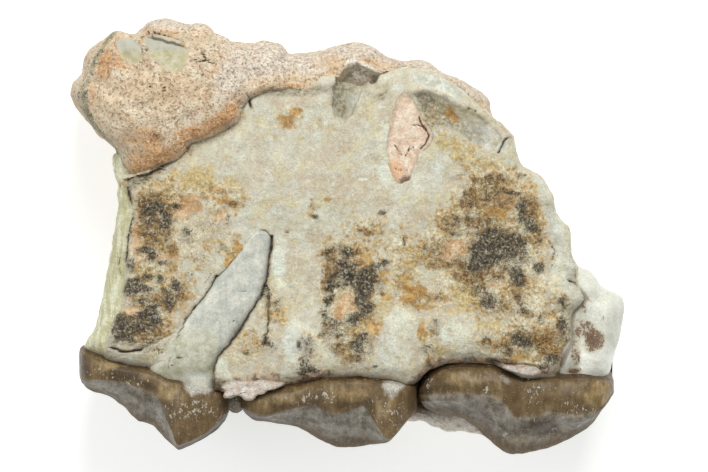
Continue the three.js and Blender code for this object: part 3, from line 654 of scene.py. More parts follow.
BONE_EDGE = [
    (19.1, -1.0), (19.05, 0.0), (18.9, 0.8), (18.4, 1.4), (17.9, 2.3), (17.6, 3.4), (17.1, 4.4),
    (16.4, 5.3), (15.7, 5.7), (14.9, 6.1), (14.5, 7.3), (14.2, 8.5), (13.9, 9.0), (13.2, 9.7),
    (12.5, 10.25), (11.9, 10.85), (11.4, 11.2), (10.6, 11.9), (9.6, 12.7), (8.7, 13.4), (7.9, 13.9),
    (6.8, 14.3), (5.6, 14.45), (4.4, 14.5), (3.6, 14.3), (3.1, 14.05), (2.75, 13.85), (2.5, 13.4),
    (2.2, 13.15), (1.8, 13.3), (1.4, 12.95), (0.9, 12.95), (0.3, 13.2), (-0.4, 13.4), (-1.2, 13.9),
    (-2.2, 13.9), (-3.4, 13.4), (-5.0, 13.3), (-6.6, 13.2), (-8.3, 12.8), (-9.5, 11.7),
    (-10.2, 10.6), (-11.8, 9.5), (-13.3, 8.8), (-15.2, 7.3), (-17.5, 6.9), (-19.75, 7.2),
    (-19.95, 6.0), (-19.55, 4.7), (-19.5, 3.6), (-19.65, 2.0), (-19.9, 0.0), (-20.3, -2.0),
    (-20.7, -4.0), (-21.0, -6.0), (-21.5, -7.8), (-22.25, -8.95), (-22.3, -9.5), (-21.4, -10.0),
    (-20.0, -10.55), (-18.6, -10.9), (-17.0, -11.15), (-16.0, -11.6), (-15.2, -12.2), (-14.2, -12.6),
    (-13.2, -13.0), (-12.0, -13.0), (-10.8, -13.1), (-9.8, -13.3), (-8.6, -13.3), (-7.2, -13.1),
    (-6.0, -12.9), (-4.0, -12.5), (-2.4, -12.1), (-1.0, -11.95), (0.8, -11.85), (2.6, -12.05),
    (4.2, -12.2), (5.4, -12.5), (6.2, -12.0), (7.0, -11.35), (8.0, -10.9), (9.2, -10.65),
    (10.6, -10.7), (12.4, -10.8), (13.4, -11.2), (14.6, -11.7), (15.6, -12.0), (16.6, -12.0),
    (17.8, -11.9), (18.25, -10.8), (18.6, -9.9), (19.1, -9.1), (19.2, -8.3), (19.1, -7.2),
    (19.3, -6.2), (20.0, -5.6), (20.35, -5.1), (19.9, -4.4), (19.6, -3.4), (19.5, -2.4),
]

# Stretches of that edge: along the gum line, and down the break at the right
GUM_LINE = BONE_EDGE[57:90]
RIGHT_BREAK = BONE_EDGE[90:101]

# The seam down the left, and all that lies beyond it
SEAM = [
    (-18.9, 7.5), (-18.7, 5.4), (-18.55, 4.2), (-18.4, 3.0), (-18.2, 2.0), (-18.5, 0.4),
    (-18.7, -1.0), (-18.75, -3.0), (-18.9, -4.6), (-19.1, -6.0), (-19.9, -7.2), (-20.2, -8.4),
    (-20.5, -9.6), (-20.6, -11.5),
]
BEYOND_SEAM = SEAM + [(-30.0, -11.5), (-30.0, 7.5)]

# What is sunk into the bone: the opening for the plug, the notch in the top edge, the scoop right
# of the plug and the trough over the bare root
PLUG_EDGE = [
    (7.1, 8.6), (6.95, 9.4), (6.5, 10.1), (6.15, 10.7), (5.8, 11.4), (5.35, 11.95), (5.0, 12.2),
    (4.6, 12.05), (4.26, 11.6), (4.0, 10.6), (3.7, 9.3), (3.4, 8.1), (3.4, 7.1), (3.65, 6.1),
    (3.95, 5.2), (4.5, 4.7), (5.2, 4.8), (5.5, 5.4), (5.8, 6.2), (6.1, 7.3), (6.8, 7.9),
]
NOTCH = [
    (-1.3, 12.8), (-1.35, 11.2), (-1.25, 10.4), (-0.7, 10.1), (-0.45, 9.7), (-0.1, 9.9), (0.2, 10.3),
    (0.6, 11.0), (1.0, 11.7), (1.25, 12.6), (0.6, 13.8), (-0.6, 13.8),
]
SCOOP = [
    (5.6, 12.3), (6.4, 12.5), (7.6, 12.4), (8.3, 12.1), (8.9, 11.7), (10.2, 11.0), (11.5, 10.4),
    (12.3, 9.8), (12.8, 9.3), (13.3, 8.3), (12.6, 7.3), (11.5, 7.15), (9.7, 8.2), (8.7, 8.9),
    (7.8, 9.3), (7.1, 9.4), (6.7, 9.8), (6.2, 11.2),
]
BARE_ROOT_EDGE = [
    (-6.4, 0.1), (-6.5, -1.0), (-6.6, -2.0), (-6.9, -3.5), (-7.3, -4.9), (-8.0, -6.0), (-9.0, -7.6),
    (-10.0, -9.0), (-11.0, -10.1), (-11.3, -11.3), (-11.2, -14.0), (-15.4, -14.0), (-15.2, -11.2),
    (-14.6, -9.0), (-13.8, -7.3), (-13.0, -6.0), (-12.0, -4.9), (-11.2, -3.4), (-10.2, -2.5),
    (-9.0, -1.1), (-8.2, 0.0), (-7.4, 0.75), (-6.8, 0.6),
]

# Cracks in the bone, and one line of painted shade under its edge: points, half width and strength
BONE_CRACKS = [
    ([(-6.4, 0.1), (-6.5, -1.0), (-6.6, -2.0), (-6.9, -3.5), (-7.3, -4.9), (-8.0, -6.0),
      (-9.0, -7.6), (-10.0, -9.0), (-11.0, -10.05)], 0.11, 0.9),
    ([(-11.0, -10.05), (-11.35, -11.2), (-11.2, -12.4), (-10.9, -13.1)], 0.1, 0.6),
    ([(-11.1, -3.2), (-11.35, -3.8), (-12.0, -5.0), (-13.0, -6.0), (-13.7, -7.0)], 0.1, 0.85),
    ([(-13.7, -7.0), (-14.6, -8.0), (-15.6, -8.6), (-17.2, -9.3)], 0.07, 0.45),
    ([(-17.2, -9.3), (-18.4, -9.65), (-20.0, -9.4)], 0.07, 0.6),
    ([(-20.0, -9.35), (-19.3, -9.6), (-18.3, -9.62), (-17.5, -9.45)], 0.1, 0.9),
    ([(-6.95, -3.6), (-6.6, -4.6), (-6.7, -6.0), (-6.7, -7.5), (-6.95, -9.0)], 0.11, 0.6),
    ([(-7.6, -3.6), (-7.2, -4.3), (-6.9, -4.9)], 0.1, 0.6),
    ([(-18.62, 4.3), (-18.5, 3.6), (-18.42, 3.0)], 0.1, 1.0),
    ([(-18.2, 2.0), (-18.5, 0.4), (-18.7, -1.0), (-18.75, -2.0)], 0.12, 0.7),
    ([(-18.8, -2.4), (-18.9, -4.6), (-19.1, -6.0), (-19.9, -7.0)], 0.09, 0.45),
    ([(-19.25, -1.4), (-19.4, -2.4), (-19.2, -3.4)], 0.07, 0.6),
    ([(-20.3, -4.0), (-20.6, -5.6), (-21.2, -7.4)], 0.05, 0.35),
    ([(10.3, 11.0), (10.8, 10.8), (11.4, 10.72), (11.9, 10.8)], 0.07, 0.7),
    ([(12.9, 7.3), (13.15, 7.8), (13.5, 8.4), (13.9, 8.6)], 0.06, 0.9),
    ([(13.5, 8.4), (13.75, 8.0), (14.2, 7.6)], 0.04, 0.5),
    ([(6.2, 9.7), (6.6, 9.5), (7.1, 8.9), (7.15, 8.5), (6.9, 8.0), (6.5, 7.6)], 0.1, 1.0),
    ([(19.45, -2.5), (19.5, -3.4), (19.85, -4.4), (20.25, -5.1)], 0.05, 0.55),
    ([(18.8, -3.5), (19.0, -3.8)], 0.07, 0.7),
    ([(17.15, -0.2), (17.45, -0.9), (17.7, -1.2), (17.5, -1.8)], 0.05, 0.7),
    ([(14.4, 5.6), (14.8, 5.0)], 0.04, 0.45),
    ([(17.0, 2.8), (17.3, 2.7)], 0.06, 0.6),
    # This line is painted shade under the bone's edge over the right molar
    ([(12.0, -10.3), (13.6, -10.75), (15.2, -10.72), (16.4, -10.95)], 0.06, 0.6),
    ([(-5.3, 0.5), (-4.9, 0.46)], 0.06, 0.7),
    ([(-0.9, -11.95), (0.0, -11.8), (0.9, -11.72), (1.6, -12.0), (3.2, -12.1), (4.4, -12.15)], 0.1, 0.7),
    ([(-11.5, -12.2), (-11.3, -12.7), (-10.9, -12.9)], 0.2, 0.7),
    ([(-8.35, 12.2), (-8.25, 11.6), (-8.15, 11.1)], 0.1, 0.8),
    ([(3.4, 13.2), (3.6, 12.7), (3.4, 12.3), (2.9, 12.0)], 0.08, 0.4),
    ([(-19.0, 4.95), (-18.28, 5.1), (-17.2, 5.35), (-16.24, 5.72), (-15.4, 6.2), (-14.6, 6.7)], 0.11, 0.95),
    ([(-14.6, 6.7), (-13.8, 7.8), (-12.6, 8.6), (-11.76, 8.95)], 0.08, 0.7),
    ([(-1.25, 12.9), (-1.25, 11.0), (-0.8, 10.1), (-0.45, 9.7)], 0.05, 0.5),
    ([(3.0, 13.7), (2.5, 13.3), (1.8, 13.35), (1.3, 13.0), (0.4, 13.2), (-0.6, 13.4)], 0.07, 0.6),
    ([(5.7, 12.3), (6.6, 12.55), (7.8, 12.4), (8.9, 11.8)], 0.05, 0.5),
    ([(-17.2, 4.6), (-16.6, 4.2)], 0.05, 0.4),
]

# Stains by colour, as patches of tint: black grains to pale bone
BLACK = [
    (-16.4, 2.5, 1.1, 0.7, 0, 0.85), (-15.5, 1.6, 0.7, 0.8, 0, 0.85), (-17.0, 1.5, 0.8, 0.5, 0, 0.5),
    (-14.5, 2.7, 0.5, 0.3, 0, 0.8), (-16.0, 0.5, 1.5, 0.7, 0, 0.4), (-13.7, 0.3, 0.5, 0.7, 0, 0.55),
    (-17.2, -1.0, 0.8, 0.35, 0, 0.85), (-16.6, -1.5, 0.5, 0.5, 0, 0.85), (-15.4, -0.3, 0.6, 0.4, 0, 0.6),
    (-15.6, -2.1, 0.8, 0.25, 0, 0.75), (-18.4, -2.3, 0.4, 0.7, 0, 0.75), (-18.1, -3.9, 0.9, 0.6, 0, 0.9),
    (-17.0, -3.3, 0.5, 0.3, 0, 0.8), (-16.0, -3.5, 0.5, 0.4, 0, 0.8), (-17.4, -4.4, 1.3, 0.45, 0, 0.95),
    (-14.5, -4.1, 0.5, 0.8, 20, 0.8), (-15.6, -4.6, 0.6, 0.4, 0, 0.6), (-18.8, -4.5, 0.5, 0.6, 0, 0.7),
    (-17.6, -5.4, 0.9, 0.3, 15, 0.65), (-15.1, -5.4, 0.5, 0.7, 0, 0.75), (-16.6, -5.7, 0.6, 0.3, 0, 0.5),
    (-16.9, -6.4, 1.1, 0.6, 20, 0.95), (-16.3, -7.0, 0.6, 0.6, 0, 0.85), (-19.4, -7.3, 0.9, 1.0, 0, 1.0),
    (-17.8, -7.5, 0.9, 0.5, 10, 0.85), (-17.0, -7.6, 0.7, 0.6, 0, 0.7), (-18.6, -8.5, 0.9, 0.5, 0, 0.75),
    (-19.7, -8.6, 0.6, 0.4, 0, 0.6), (-16.6, -8.7, 1.1, 0.4, 20, 0.55), (-18.2, -6.9, 0.5, 0.4, 0, 0.5),
    (-12.3, 0.8, 1.4, 1.0, 0, 0.2), (-12.4, -1.6, 1.2, 1.4, 0, 0.24), (-10.6, -0.7, 0.35, 0.3, 0, 0.6),
    (-11.0, 1.2, 0.9, 0.7, 0, 0.2), (-10.1, 1.5, 0.15, 0.7, 0, 0.5), (-13.5, -3.3, 0.5, 0.7, 0, 0.3),
    (-11.6, -3.4, 0.5, 0.7, -30, 0.4), (-17.6, 5.0, 1.4, 0.4, 25, 0.35), (-15.4, 6.1, 0.9, 0.3, 35, 0.4),
    (-5.9, -5.6, 0.4, 0.6, 0, 0.55), (-6.95, -8.6, 0.35, 0.5, 0, 0.8), (-6.7, -5.3, 0.5, 0.8, 0, 0.4),
    (-7.0, -4.2, 0.4, 0.6, 0, 0.55), (-6.4, -9.2, 0.9, 0.5, 0, 0.35), (-8.4, -9.6, 1.0, 0.5, 0, 0.25),
    (-11.3, -10.5, 0.3, 0.6, 0, 0.6), (-11.5, -12.3, 0.35, 0.4, 0, 0.75), (-16.4, -9.6, 1.0, 0.5, 15, 0.4),
    (-0.1, -1.3, 0.6, 0.6, 0, 0.85), (-0.7, -0.6, 0.6, 0.25, 0, 0.55), (-1.4, -1.3, 0.6, 0.5, 0, 0.4),
    (-0.5, -2.3, 0.7, 0.7, 0, 0.75), (0.4, -2.5, 0.6, 0.5, 0, 0.85), (0.2, -3.2, 1.3, 0.6, 0, 0.85),
    (-0.9, -3.5, 0.9, 0.6, 30, 0.7), (1.5, -3.3, 0.9, 0.8, 0, 1.0), (-0.3, -3.9, 1.1, 0.3, 0, 0.6),
    (1.4, -4.4, 0.9, 0.8, 0, 1.0), (-1.4, -4.4, 0.3, 0.9, 10, 0.8), (-1.6, -5.3, 0.4, 0.5, 0, 0.75),
    (1.3, -5.4, 0.7, 0.7, 0, 0.95), (1.9, -5.9, 0.6, 0.5, 0, 0.8), (1.4, -6.4, 0.6, 0.5, 0, 0.8),
    (0.5, -6.9, 0.7, 0.6, 0, 0.9), (-1.9, -6.2, 0.5, 0.9, 0, 0.45), (-1.2, -7.3, 0.9, 0.7, 0, 0.5),
    (-0.6, -8.1, 0.9, 0.5, 0, 0.5), (3.1, -2.3, 0.5, 0.5, 0, 0.6), (2.3, -2.5, 0.5, 0.5, 0, 0.65),
    (3.4, -1.9, 0.35, 0.2, 0, 0.6), (3.0, 2.2, 0.45, 0.3, 0, 0.6), (4.85, -0.3, 0.15, 0.5, 0, 0.6),
    (-2.7, 1.85, 0.3, 0.2, 0, 0.75), (0.8, -2.35, 0.25, 0.15, 0, 1.0), (2.0, -4.0, 0.3, 0.4, 0, 0.7),
    (0.9, -9.2, 0.8, 0.8, 0, 0.85), (1.4, -8.3, 0.6, 0.4, 0, 0.65), (-3.5, -8.7, 0.7, 0.5, 0, 0.5),
    (-4.1, -9.1, 0.18, 0.5, 0, 0.85), (-3.2, -9.4, 0.5, 0.5, 0, 0.5), (-3.6, -10.4, 0.5, 0.9, 0, 0.6),
    (-3.3, -11.5, 1.0, 0.8, 0, 0.95), (-2.3, -11.7, 0.7, 0.5, 0, 0.85), (-0.6, -12.0, 1.2, 0.2, 0, 0.7),
    (0.7, -11.8, 0.9, 0.2, 0, 0.7), (2.4, -10.9, 0.25, 0.12, 0, 0.8), (-1.0, -9.2, 0.7, 0.5, 0, 0.35),
    (12.4, 0.3, 1.7, 0.8, 0, 0.8), (12.2, -0.8, 1.8, 1.0, 0, 1.0), (11.7, -1.7, 1.6, 0.9, 0, 1.0),
    (14.2, -0.3, 1.1, 0.9, 0, 0.85), (14.6, -1.6, 1.0, 0.9, 0, 0.6), (13.9, -2.5, 0.9, 0.7, 0, 0.55),
    (15.8, 0.7, 0.7, 0.5, 0, 0.65), (15.3, 1.6, 0.8, 0.6, 0, 0.8), (14.9, 2.5, 0.5, 0.8, 0, 0.8),
    (11.0, -2.5, 1.1, 0.5, 0, 0.65), (14.5, -3.3, 0.7, 0.7, 0, 0.85), (16.3, -2.5, 0.5, 0.5, 0, 0.9),
    (14.6, -3.9, 0.7, 0.3, 0, 0.75), (11.1, -4.2, 0.9, 0.8, 0, 0.6), (12.2, -5.5, 0.9, 0.8, 0, 0.7),
    (14.5, -4.8, 0.6, 0.6, 0, 0.6), (14.7, -5.8, 0.6, 0.5, 0, 0.5), (18.3, -5.4, 0.6, 0.6, 0, 0.5),
    (18.4, -7.5, 0.5, 0.9, 0, 0.85), (15.2, -6.3, 0.8, 0.4, 0, 0.5), (10.4, 3.2, 0.7, 0.8, 0, 0.25),
    (11.7, 3.5, 0.6, 0.6, 0, 0.6), (12.8, 4.1, 0.8, 0.25, 0, 0.5), (14.0, 3.85, 0.6, 0.22, 0, 0.8),
    (8.5, 1.3, 0.6, 0.7, 0, 0.5), (9.1, 0.4, 0.6, 0.3, 0, 0.7), (9.3, 1.6, 0.5, 0.6, 0, 0.5),
    (10.9, 1.8, 0.9, 0.6, 0, 0.4), (6.6, -1.0, 0.25, 0.6, 0, 0.45), (7.5, -4.9, 0.8, 0.5, 0, 0.35),
    (14.7, -8.7, 0.9, 0.8, 0, 0.8), (15.4, -9.2, 1.0, 0.5, 0, 0.5), (13.6, -9.6, 0.7, 0.5, 0, 0.6),
    (17.4, -10.3, 0.9, 0.5, 0, 0.9), (13.4, -10.4, 0.6, 0.25, 0, 0.85), (16.7, -11.1, 0.9, 0.35, 0, 0.95),
    (7.6, -7.6, 0.5, 0.9, 0, 0.4), (6.9, -9.3, 0.9, 0.5, 0, 0.5), (16.4, -6.9, 0.3, 0.4, 0, 0.6),
    (11.0, 5.0, 0.5, 0.3, 0, 0.35), (14.9, 5.3, 0.5, 0.6, 0, 0.3), (17.6, -2.5, 1.2, 0.5, 0, 0.25),
    (6.5, 11.5, 0.5, 0.6, 40, 0.25), (7.4, 9.6, 0.8, 0.4, 0, 0.25),
]
# Grey patches: grey bone, and painted shade on the scoop's upper left wall and in the notch
GREY_AND_PAINTED_SHADE = [
    (6.9, 11.2, 0.9, 1.6, 35, 1.0), (7.9, 10.6, 1.3, 1.1, -30, 1.0), (9.3, 9.7, 1.4, 0.7, -35, 0.5),
    (2.9, 12.0, 0.6, 0.4, 0, 0.7), (-17.0, -9.4, 1.6, 0.5, 12, 0.3), (9.2, 12.9, 1.0, 0.3, -35, 0.4),
    (-0.7, 11.7, 0.7, 1.4, 8, 0.9), (-4.5, 12.6, 4.0, 0.6, 0, 0.5), (-14.0, -6.0, 0.6, 1.4, 35, 0.3),
    (-11.9, -3.6, 0.6, 0.8, -30, 0.35), (6.6, 14.0, 1.0, 0.3, -10, 0.4),
    (10.6, 8.7, 1.6, 0.9, -25, 0.5),
]
COOL = [
    (11.2, 8.7, 2.0, 1.3, -25, 1.0), (10.0, 9.6, 1.2, 0.8, -30, 0.6), (7.4, 13.4, 2.2, 0.7, -15, 1.0),
    (9.4, 12.4, 1.7, 0.5, -40, 0.9),
    (0.5, 11.6, 0.5, 1.2, 15, 0.9), (17.6, 1.0, 0.9, 3.0, 8, 0.8), (16.3, 4.4, 1.4, 1.2, 40, 0.7),
    (18.9, -3.0, 0.8, 1.8, 0, 0.7), (-14.2, -8.4, 1.6, 0.8, 40, 0.5), (-12.6, -5.6, 0.5, 1.1, 35, 0.7),
    (-4.7, -8.8, 1.4, 1.4, 0, 0.7), (3.0, -9.2, 1.9, 1.8, 0, 0.6), (7.5, 6.0, 0.8, 0.6, 0, 0.7),
    (8.2, 1.9, 0.6, 0.4, 0, 0.6), (-3.2, -9.6, 1.6, 1.6, 0, 0.4), (2.8, 0.1, 0.6, 0.9, 0, 0.5),
    (-17.6, -9.3, 2.4, 0.4, 10, 0.5), (13.3, 8.0, 0.6, 0.8, 0, 0.6), (9.2, 5.3, 0.6, 0.4, 0, 0.9),
]
BROWN = [
    (-16.5, 2.5, 1.7, 1.5, 0, 0.9), (-16.6, 0.5, 1.6, 1.2, 0, 0.75), (-15.0, -0.8, 1.0, 0.6, 0, 0.6),
    (-15.1, -5.3, 1.3, 0.8, 0, 0.8), (-14.1, -5.0, 0.5, 0.4, 0, 0.8), (-17.4, -8.1, 2.4, 1.0, 10, 0.75),
    (-16.9, -5.3, 1.8, 0.7, 0, 0.6), (-16.9, 3.3, 1.3, 0.6, 0, 0.7), (-1.4, -1.2, 1.0, 0.6, 0, 0.9),
    (0.4, -1.1, 0.8, 0.4, 0, 0.85), (-1.1, -2.7, 0.9, 1.5, 0, 0.85), (-1.8, -4.0, 0.5, 0.8, 0, 0.65),
    (2.6, -3.6, 0.5, 0.8, 0, 0.75), (3.0, -4.5, 0.4, 0.5, 0, 0.5), (0.2, -3.4, 1.9, 0.9, 0, 0.5),
    (1.9, -9.0, 0.5, 0.8, 0, 0.6), (0.6, -10.2, 0.9, 0.4, 0, 0.75), (-0.6, -9.4, 0.7, 0.7, 0, 0.65),
    (-1.9, -8.0, 0.6, 0.9, 0, 0.6), (1.5, 0.55, 0.7, 0.3, -15, 0.8), (-0.9, -7.6, 1.2, 1.0, 0, 0.45),
    (10.5, 3.3, 0.9, 1.1, 0, 0.95), (12.5, 4.9, 1.4, 0.7, 0, 0.9), (13.0, 3.4, 2.4, 1.0, 0, 0.6),
    (11.2, 1.3, 1.7, 0.8, 0, 0.75), (15.4, 2.2, 0.8, 1.4, 0, 0.9), (16.3, 0.2, 0.4, 1.2, 0, 0.75),
    (8.9, 1.2, 1.0, 0.9, 0, 0.6), (9.7, -2.6, 0.7, 1.3, 0, 0.8), (7.6, -1.0, 1.3, 0.9, 0, 0.5),
    (8.0, -2.2, 1.6, 0.5, 0, 0.55), (10.8, -3.4, 1.1, 0.9, 0, 0.75), (12.6, -3.3, 1.4, 0.5, 0, 0.6),
    (12.6, -5.8, 1.5, 0.9, 0, 0.55), (14.9, -8.7, 1.7, 1.0, 0, 0.95), (11.9, -8.7, 0.5, 0.6, 0, 0.85),
    (16.9, -8.7, 1.3, 0.9, 0, 0.75), (18.3, -7.7, 0.7, 1.1, 0, 0.9), (18.6, -5.6, 0.7, 1.0, 0, 0.6),
    (13.4, -9.3, 0.7, 0.9, 0, 0.6), (17.4, -10.0, 1.2, 0.6, 0, 0.8), (14.0, -6.6, 1.0, 0.5, 0, 0.2),
    (-9.7, 3.0, 0.6, 0.35, 0, 0.6), (-13.0, 3.9, 0.6, 0.3, 0, 0.3), (-3.6, 11.9, 0.35, 0.5, 0, 0.4),
    (-16.6, -2.8, 0.9, 0.5, 0, 0.5),
]
RUST = [
    (-17.5, 3.0, 0.6, 0.5, 0, 0.7), (-10.4, 3.2, 1.0, 0.6, 0, 0.85), (-9.2, -0.8, 0.5, 0.7, 0, 1.0),
    (-9.9, -2.2, 0.7, 0.5, -35, 1.0), (-10.6, -0.4, 0.7, 0.3, 0, 0.5), (-14.8, -1.1, 0.5, 0.8, 0, 0.8),
    (-14.0, -5.2, 0.6, 0.3, 0, 0.8), (-5.1, 9.9, 0.8, 0.75, 0, 0.95), (-4.3, 10.8, 0.6, 0.4, 20, 0.85),
    (-5.7, 10.3, 0.5, 0.5, 0, 0.6), (-1.6, 3.3, 0.4, 0.3, 0, 0.75), (-2.6, 2.8, 0.35, 0.8, 0, 0.5),
    (-2.6, -1.8, 0.35, 0.35, 0, 0.6), (1.6, -1.9, 0.7, 0.7, 0, 0.95), (3.1, -3.3, 0.6, 1.0, 0, 0.8),
    (5.0, -3.6, 0.6, 1.0, 0, 0.6), (5.7, -4.6, 1.2, 0.8, 0, 0.95), (5.2, -5.3, 1.0, 0.35, 0, 0.8),
    (6.4, -5.8, 1.1, 0.35, -10, 0.8), (6.3, -7.6, 0.4, 0.9, -15, 0.9), (4.7, 0.9, 0.3, 0.7, 0, 0.6),
    (2.4, -7.8, 0.8, 0.8, 0, 0.75), (3.5, -5.1, 0.7, 0.35, 0, 0.65), (6.3, -1.8, 0.8, 0.7, 0, 0.5),
    (12.7, 2.2, 1.6, 0.7, 0, 0.75), (16.65, -1.2, 0.3, 1.4, 0, 0.55), (12.9, -8.8, 1.0, 1.0, 0, 0.7),
    (16.8, -8.6, 1.4, 0.8, 0, 0.85), (14.7, -10.2, 1.0, 0.4, 0, 0.95), (17.4, -9.6, 0.9, 0.5, 0, 0.7),
    (8.3, -5.2, 0.9, 0.5, 0, 0.55), (8.8, 10.7, 0.6, 0.9, 25, 0.85), (9.4, 10.1, 0.6, 0.4, 0, 0.5),
    (12.2, 5.5, 1.6, 0.4, 0, 0.5), (8.8, -4.0, 0.5, 0.6, 0, 0.4), (-13.6, 4.4, 0.8, 0.4, 0, 0.5),
    (12.2, 6.2, 1.5, 0.4, 0, 0.45), (7.0, -10.2, 0.8, 0.3, 30, 0.45), (1.8, -11.1, 0.6, 0.25, 0, 0.6),
    (5.0, -5.0, 0.4, 0.3, 0, 0.5), (8.3, 7.6, 0.6, 0.5, 0, 0.3), (-2.6, -6.0, 0.3, 0.3, 0, 0.3),
]
OCHRE = [
    (-12.9, 5.2, 2.0, 1.0, 0, 0.95), (-9.8, 4.7, 0.9, 0.6, -20, 0.75), (-13.5, 4.2, 1.3, 0.6, 0, 0.6),
    (-16.2, 3.9, 1.6, 0.4, 0, 0.6), (-7.0, 3.0, 0.5, 0.25, -20, 0.8), (-6.6, 2.7, 0.4, 0.2, 0, 0.6),
    (-7.4, 1.9, 0.5, 0.6, 0, 0.4), (-7.1, 8.5, 0.5, 0.9, -10, 0.45), (-11.2, 6.6, 2.4, 0.9, 30, 0.35),
    (-4.5, -0.2, 0.35, 0.2, 0, 0.75), (-3.9, -3.1, 0.4, 0.3, 0, 0.5), (-3.6, 0.6, 0.7, 0.3, 0, 0.4),
    (-4.9, -6.6, 1.2, 0.8, 0, 0.45), (-9.0, -8.9, 1.2, 0.6, 0, 0.5), (3.4, -4.6, 1.0, 1.6, 0, 0.55),
    (2.9, -6.1, 1.3, 0.9, 0, 0.6), (2.9, 3.4, 0.6, 0.5, 0, 0.5), (5.6, -2.2, 1.0, 1.8, 0, 0.55),
    (3.0, 0.6, 0.8, 2.0, 0, 0.4), (10.0, -4.6, 1.5, 1.0, 0, 0.9), (9.4, -6.1, 2.2, 0.7, 0, 0.65),
    (12.1, -7.4, 1.4, 0.6, 0, 0.8), (7.6, 3.3, 1.4, 1.4, 0, 0.35), (9.4, 7.5, 1.9, 1.2, -20, 0.7),
    (8.0, 8.4, 1.0, 0.8, 0, 0.6), (8.2, -9.7, 1.2, 0.5, 0, 0.7), (18.4, -8.8, 0.6, 0.6, 0, 0.8),
    (6.2, -11.2, 1.1, 0.7, 40, 0.6), (14.7, -9.9, 1.1, 0.35, 0, 0.8), (11.8, 6.2, 1.9, 0.5, 0, 0.6),
    (10.6, 9.9, 0.9, 0.3, -10, 0.6), (17.2, -4.6, 1.6, 1.0, -30, 0.35), (3.6, 13.2, 0.7, 0.8, 0, 0.3),
    (2.8, 12.1, 0.8, 0.5, 20, 0.45), (1.5, 12.4, 0.3, 0.9, 0, 0.5), (-12.7, -11.0, 1.5, 0.8, 0, 0.3),
    (8.4, 11.3, 1.2, 0.5, -25, 0.3), (12.6, 8.6, 0.7, 0.7, 0, 0.3), (-20.9, -9.2, 0.7, 0.7, 0, 0.4),
    (-16.6, -2.9, 1.3, 0.6, 0, 0.7),
    (4.7, -7.8, 0.9, 0.5, 0, 0.3), (1.2, 6.9, 0.5, 2.2, 10, 0.25), (0.9, 8.8, 0.5, 0.8, 0, 0.3),
]
PEACH = [
    (-17.9, 0.2, 0.6, 1.8, 0, 0.85), (-16.2, -1.6, 1.8, 0.5, 0, 0.7),
    (-14.8, -1.4, 0.6, 0.6, 0, 0.6), (-13.5, 2.7, 1.5, 0.8, 0, 0.85), (-14.4, 1.9, 0.7, 0.5, 0, 0.6),
    (-18.2, -6.2, 0.8, 0.6, 0, 0.75), (-16.8, -4.9, 1.4, 0.35, 0, 0.7), (-13.0, 3.5, 1.6, 0.4, 0, 0.6),
    (-11.2, 1.2, 1.6, 1.4, 0, 0.45), (-10.2, 2.3, 0.8, 0.8, 0, 0.4), (0.0, -5.2, 0.85, 0.65, 0, 1.0),
    (-0.7, -6.4, 0.55, 0.8, 0, 0.95), (-0.4, -5.9, 0.7, 0.5, 0, 0.95), (0.7, -6.0, 0.5, 0.35, 0, 0.8),
    (13.3, 3.3, 1.0, 0.6, 0, 0.85), (13.6, 2.7, 1.1, 0.6, 0, 0.8), (9.1, -0.5, 1.0, 0.5, 0, 1.0),
    (9.9, -0.9, 0.6, 0.7, 0, 0.8), (8.4, -1.5, 1.4, 0.7, 0, 0.6), (12.6, -4.1, 1.1, 0.4, 0, 0.65),
    (16.4, -1.7, 0.6, 0.6, 0, 0.5), (12.6, -8.8, 0.7, 0.8, 0, 0.6), (-7.6, -11.4, 2.2, 0.8, 0, 0.35),
    (-5.6, -11.4, 1.0, 1.0, 0, 0.3), (-2.6, 2.4, 0.4, 0.6, 0, 0.4), (-2.0, -9.3, 0.5, 0.4, 0, 0.4),
    (-5.2, 5.4, 3.2, 2.2, 0, 0.3), (6.8, -11.4, 1.0, 0.4, 40, 0.5), (17.8, 0.9, 1.0, 2.0, 0, 0.18),
]
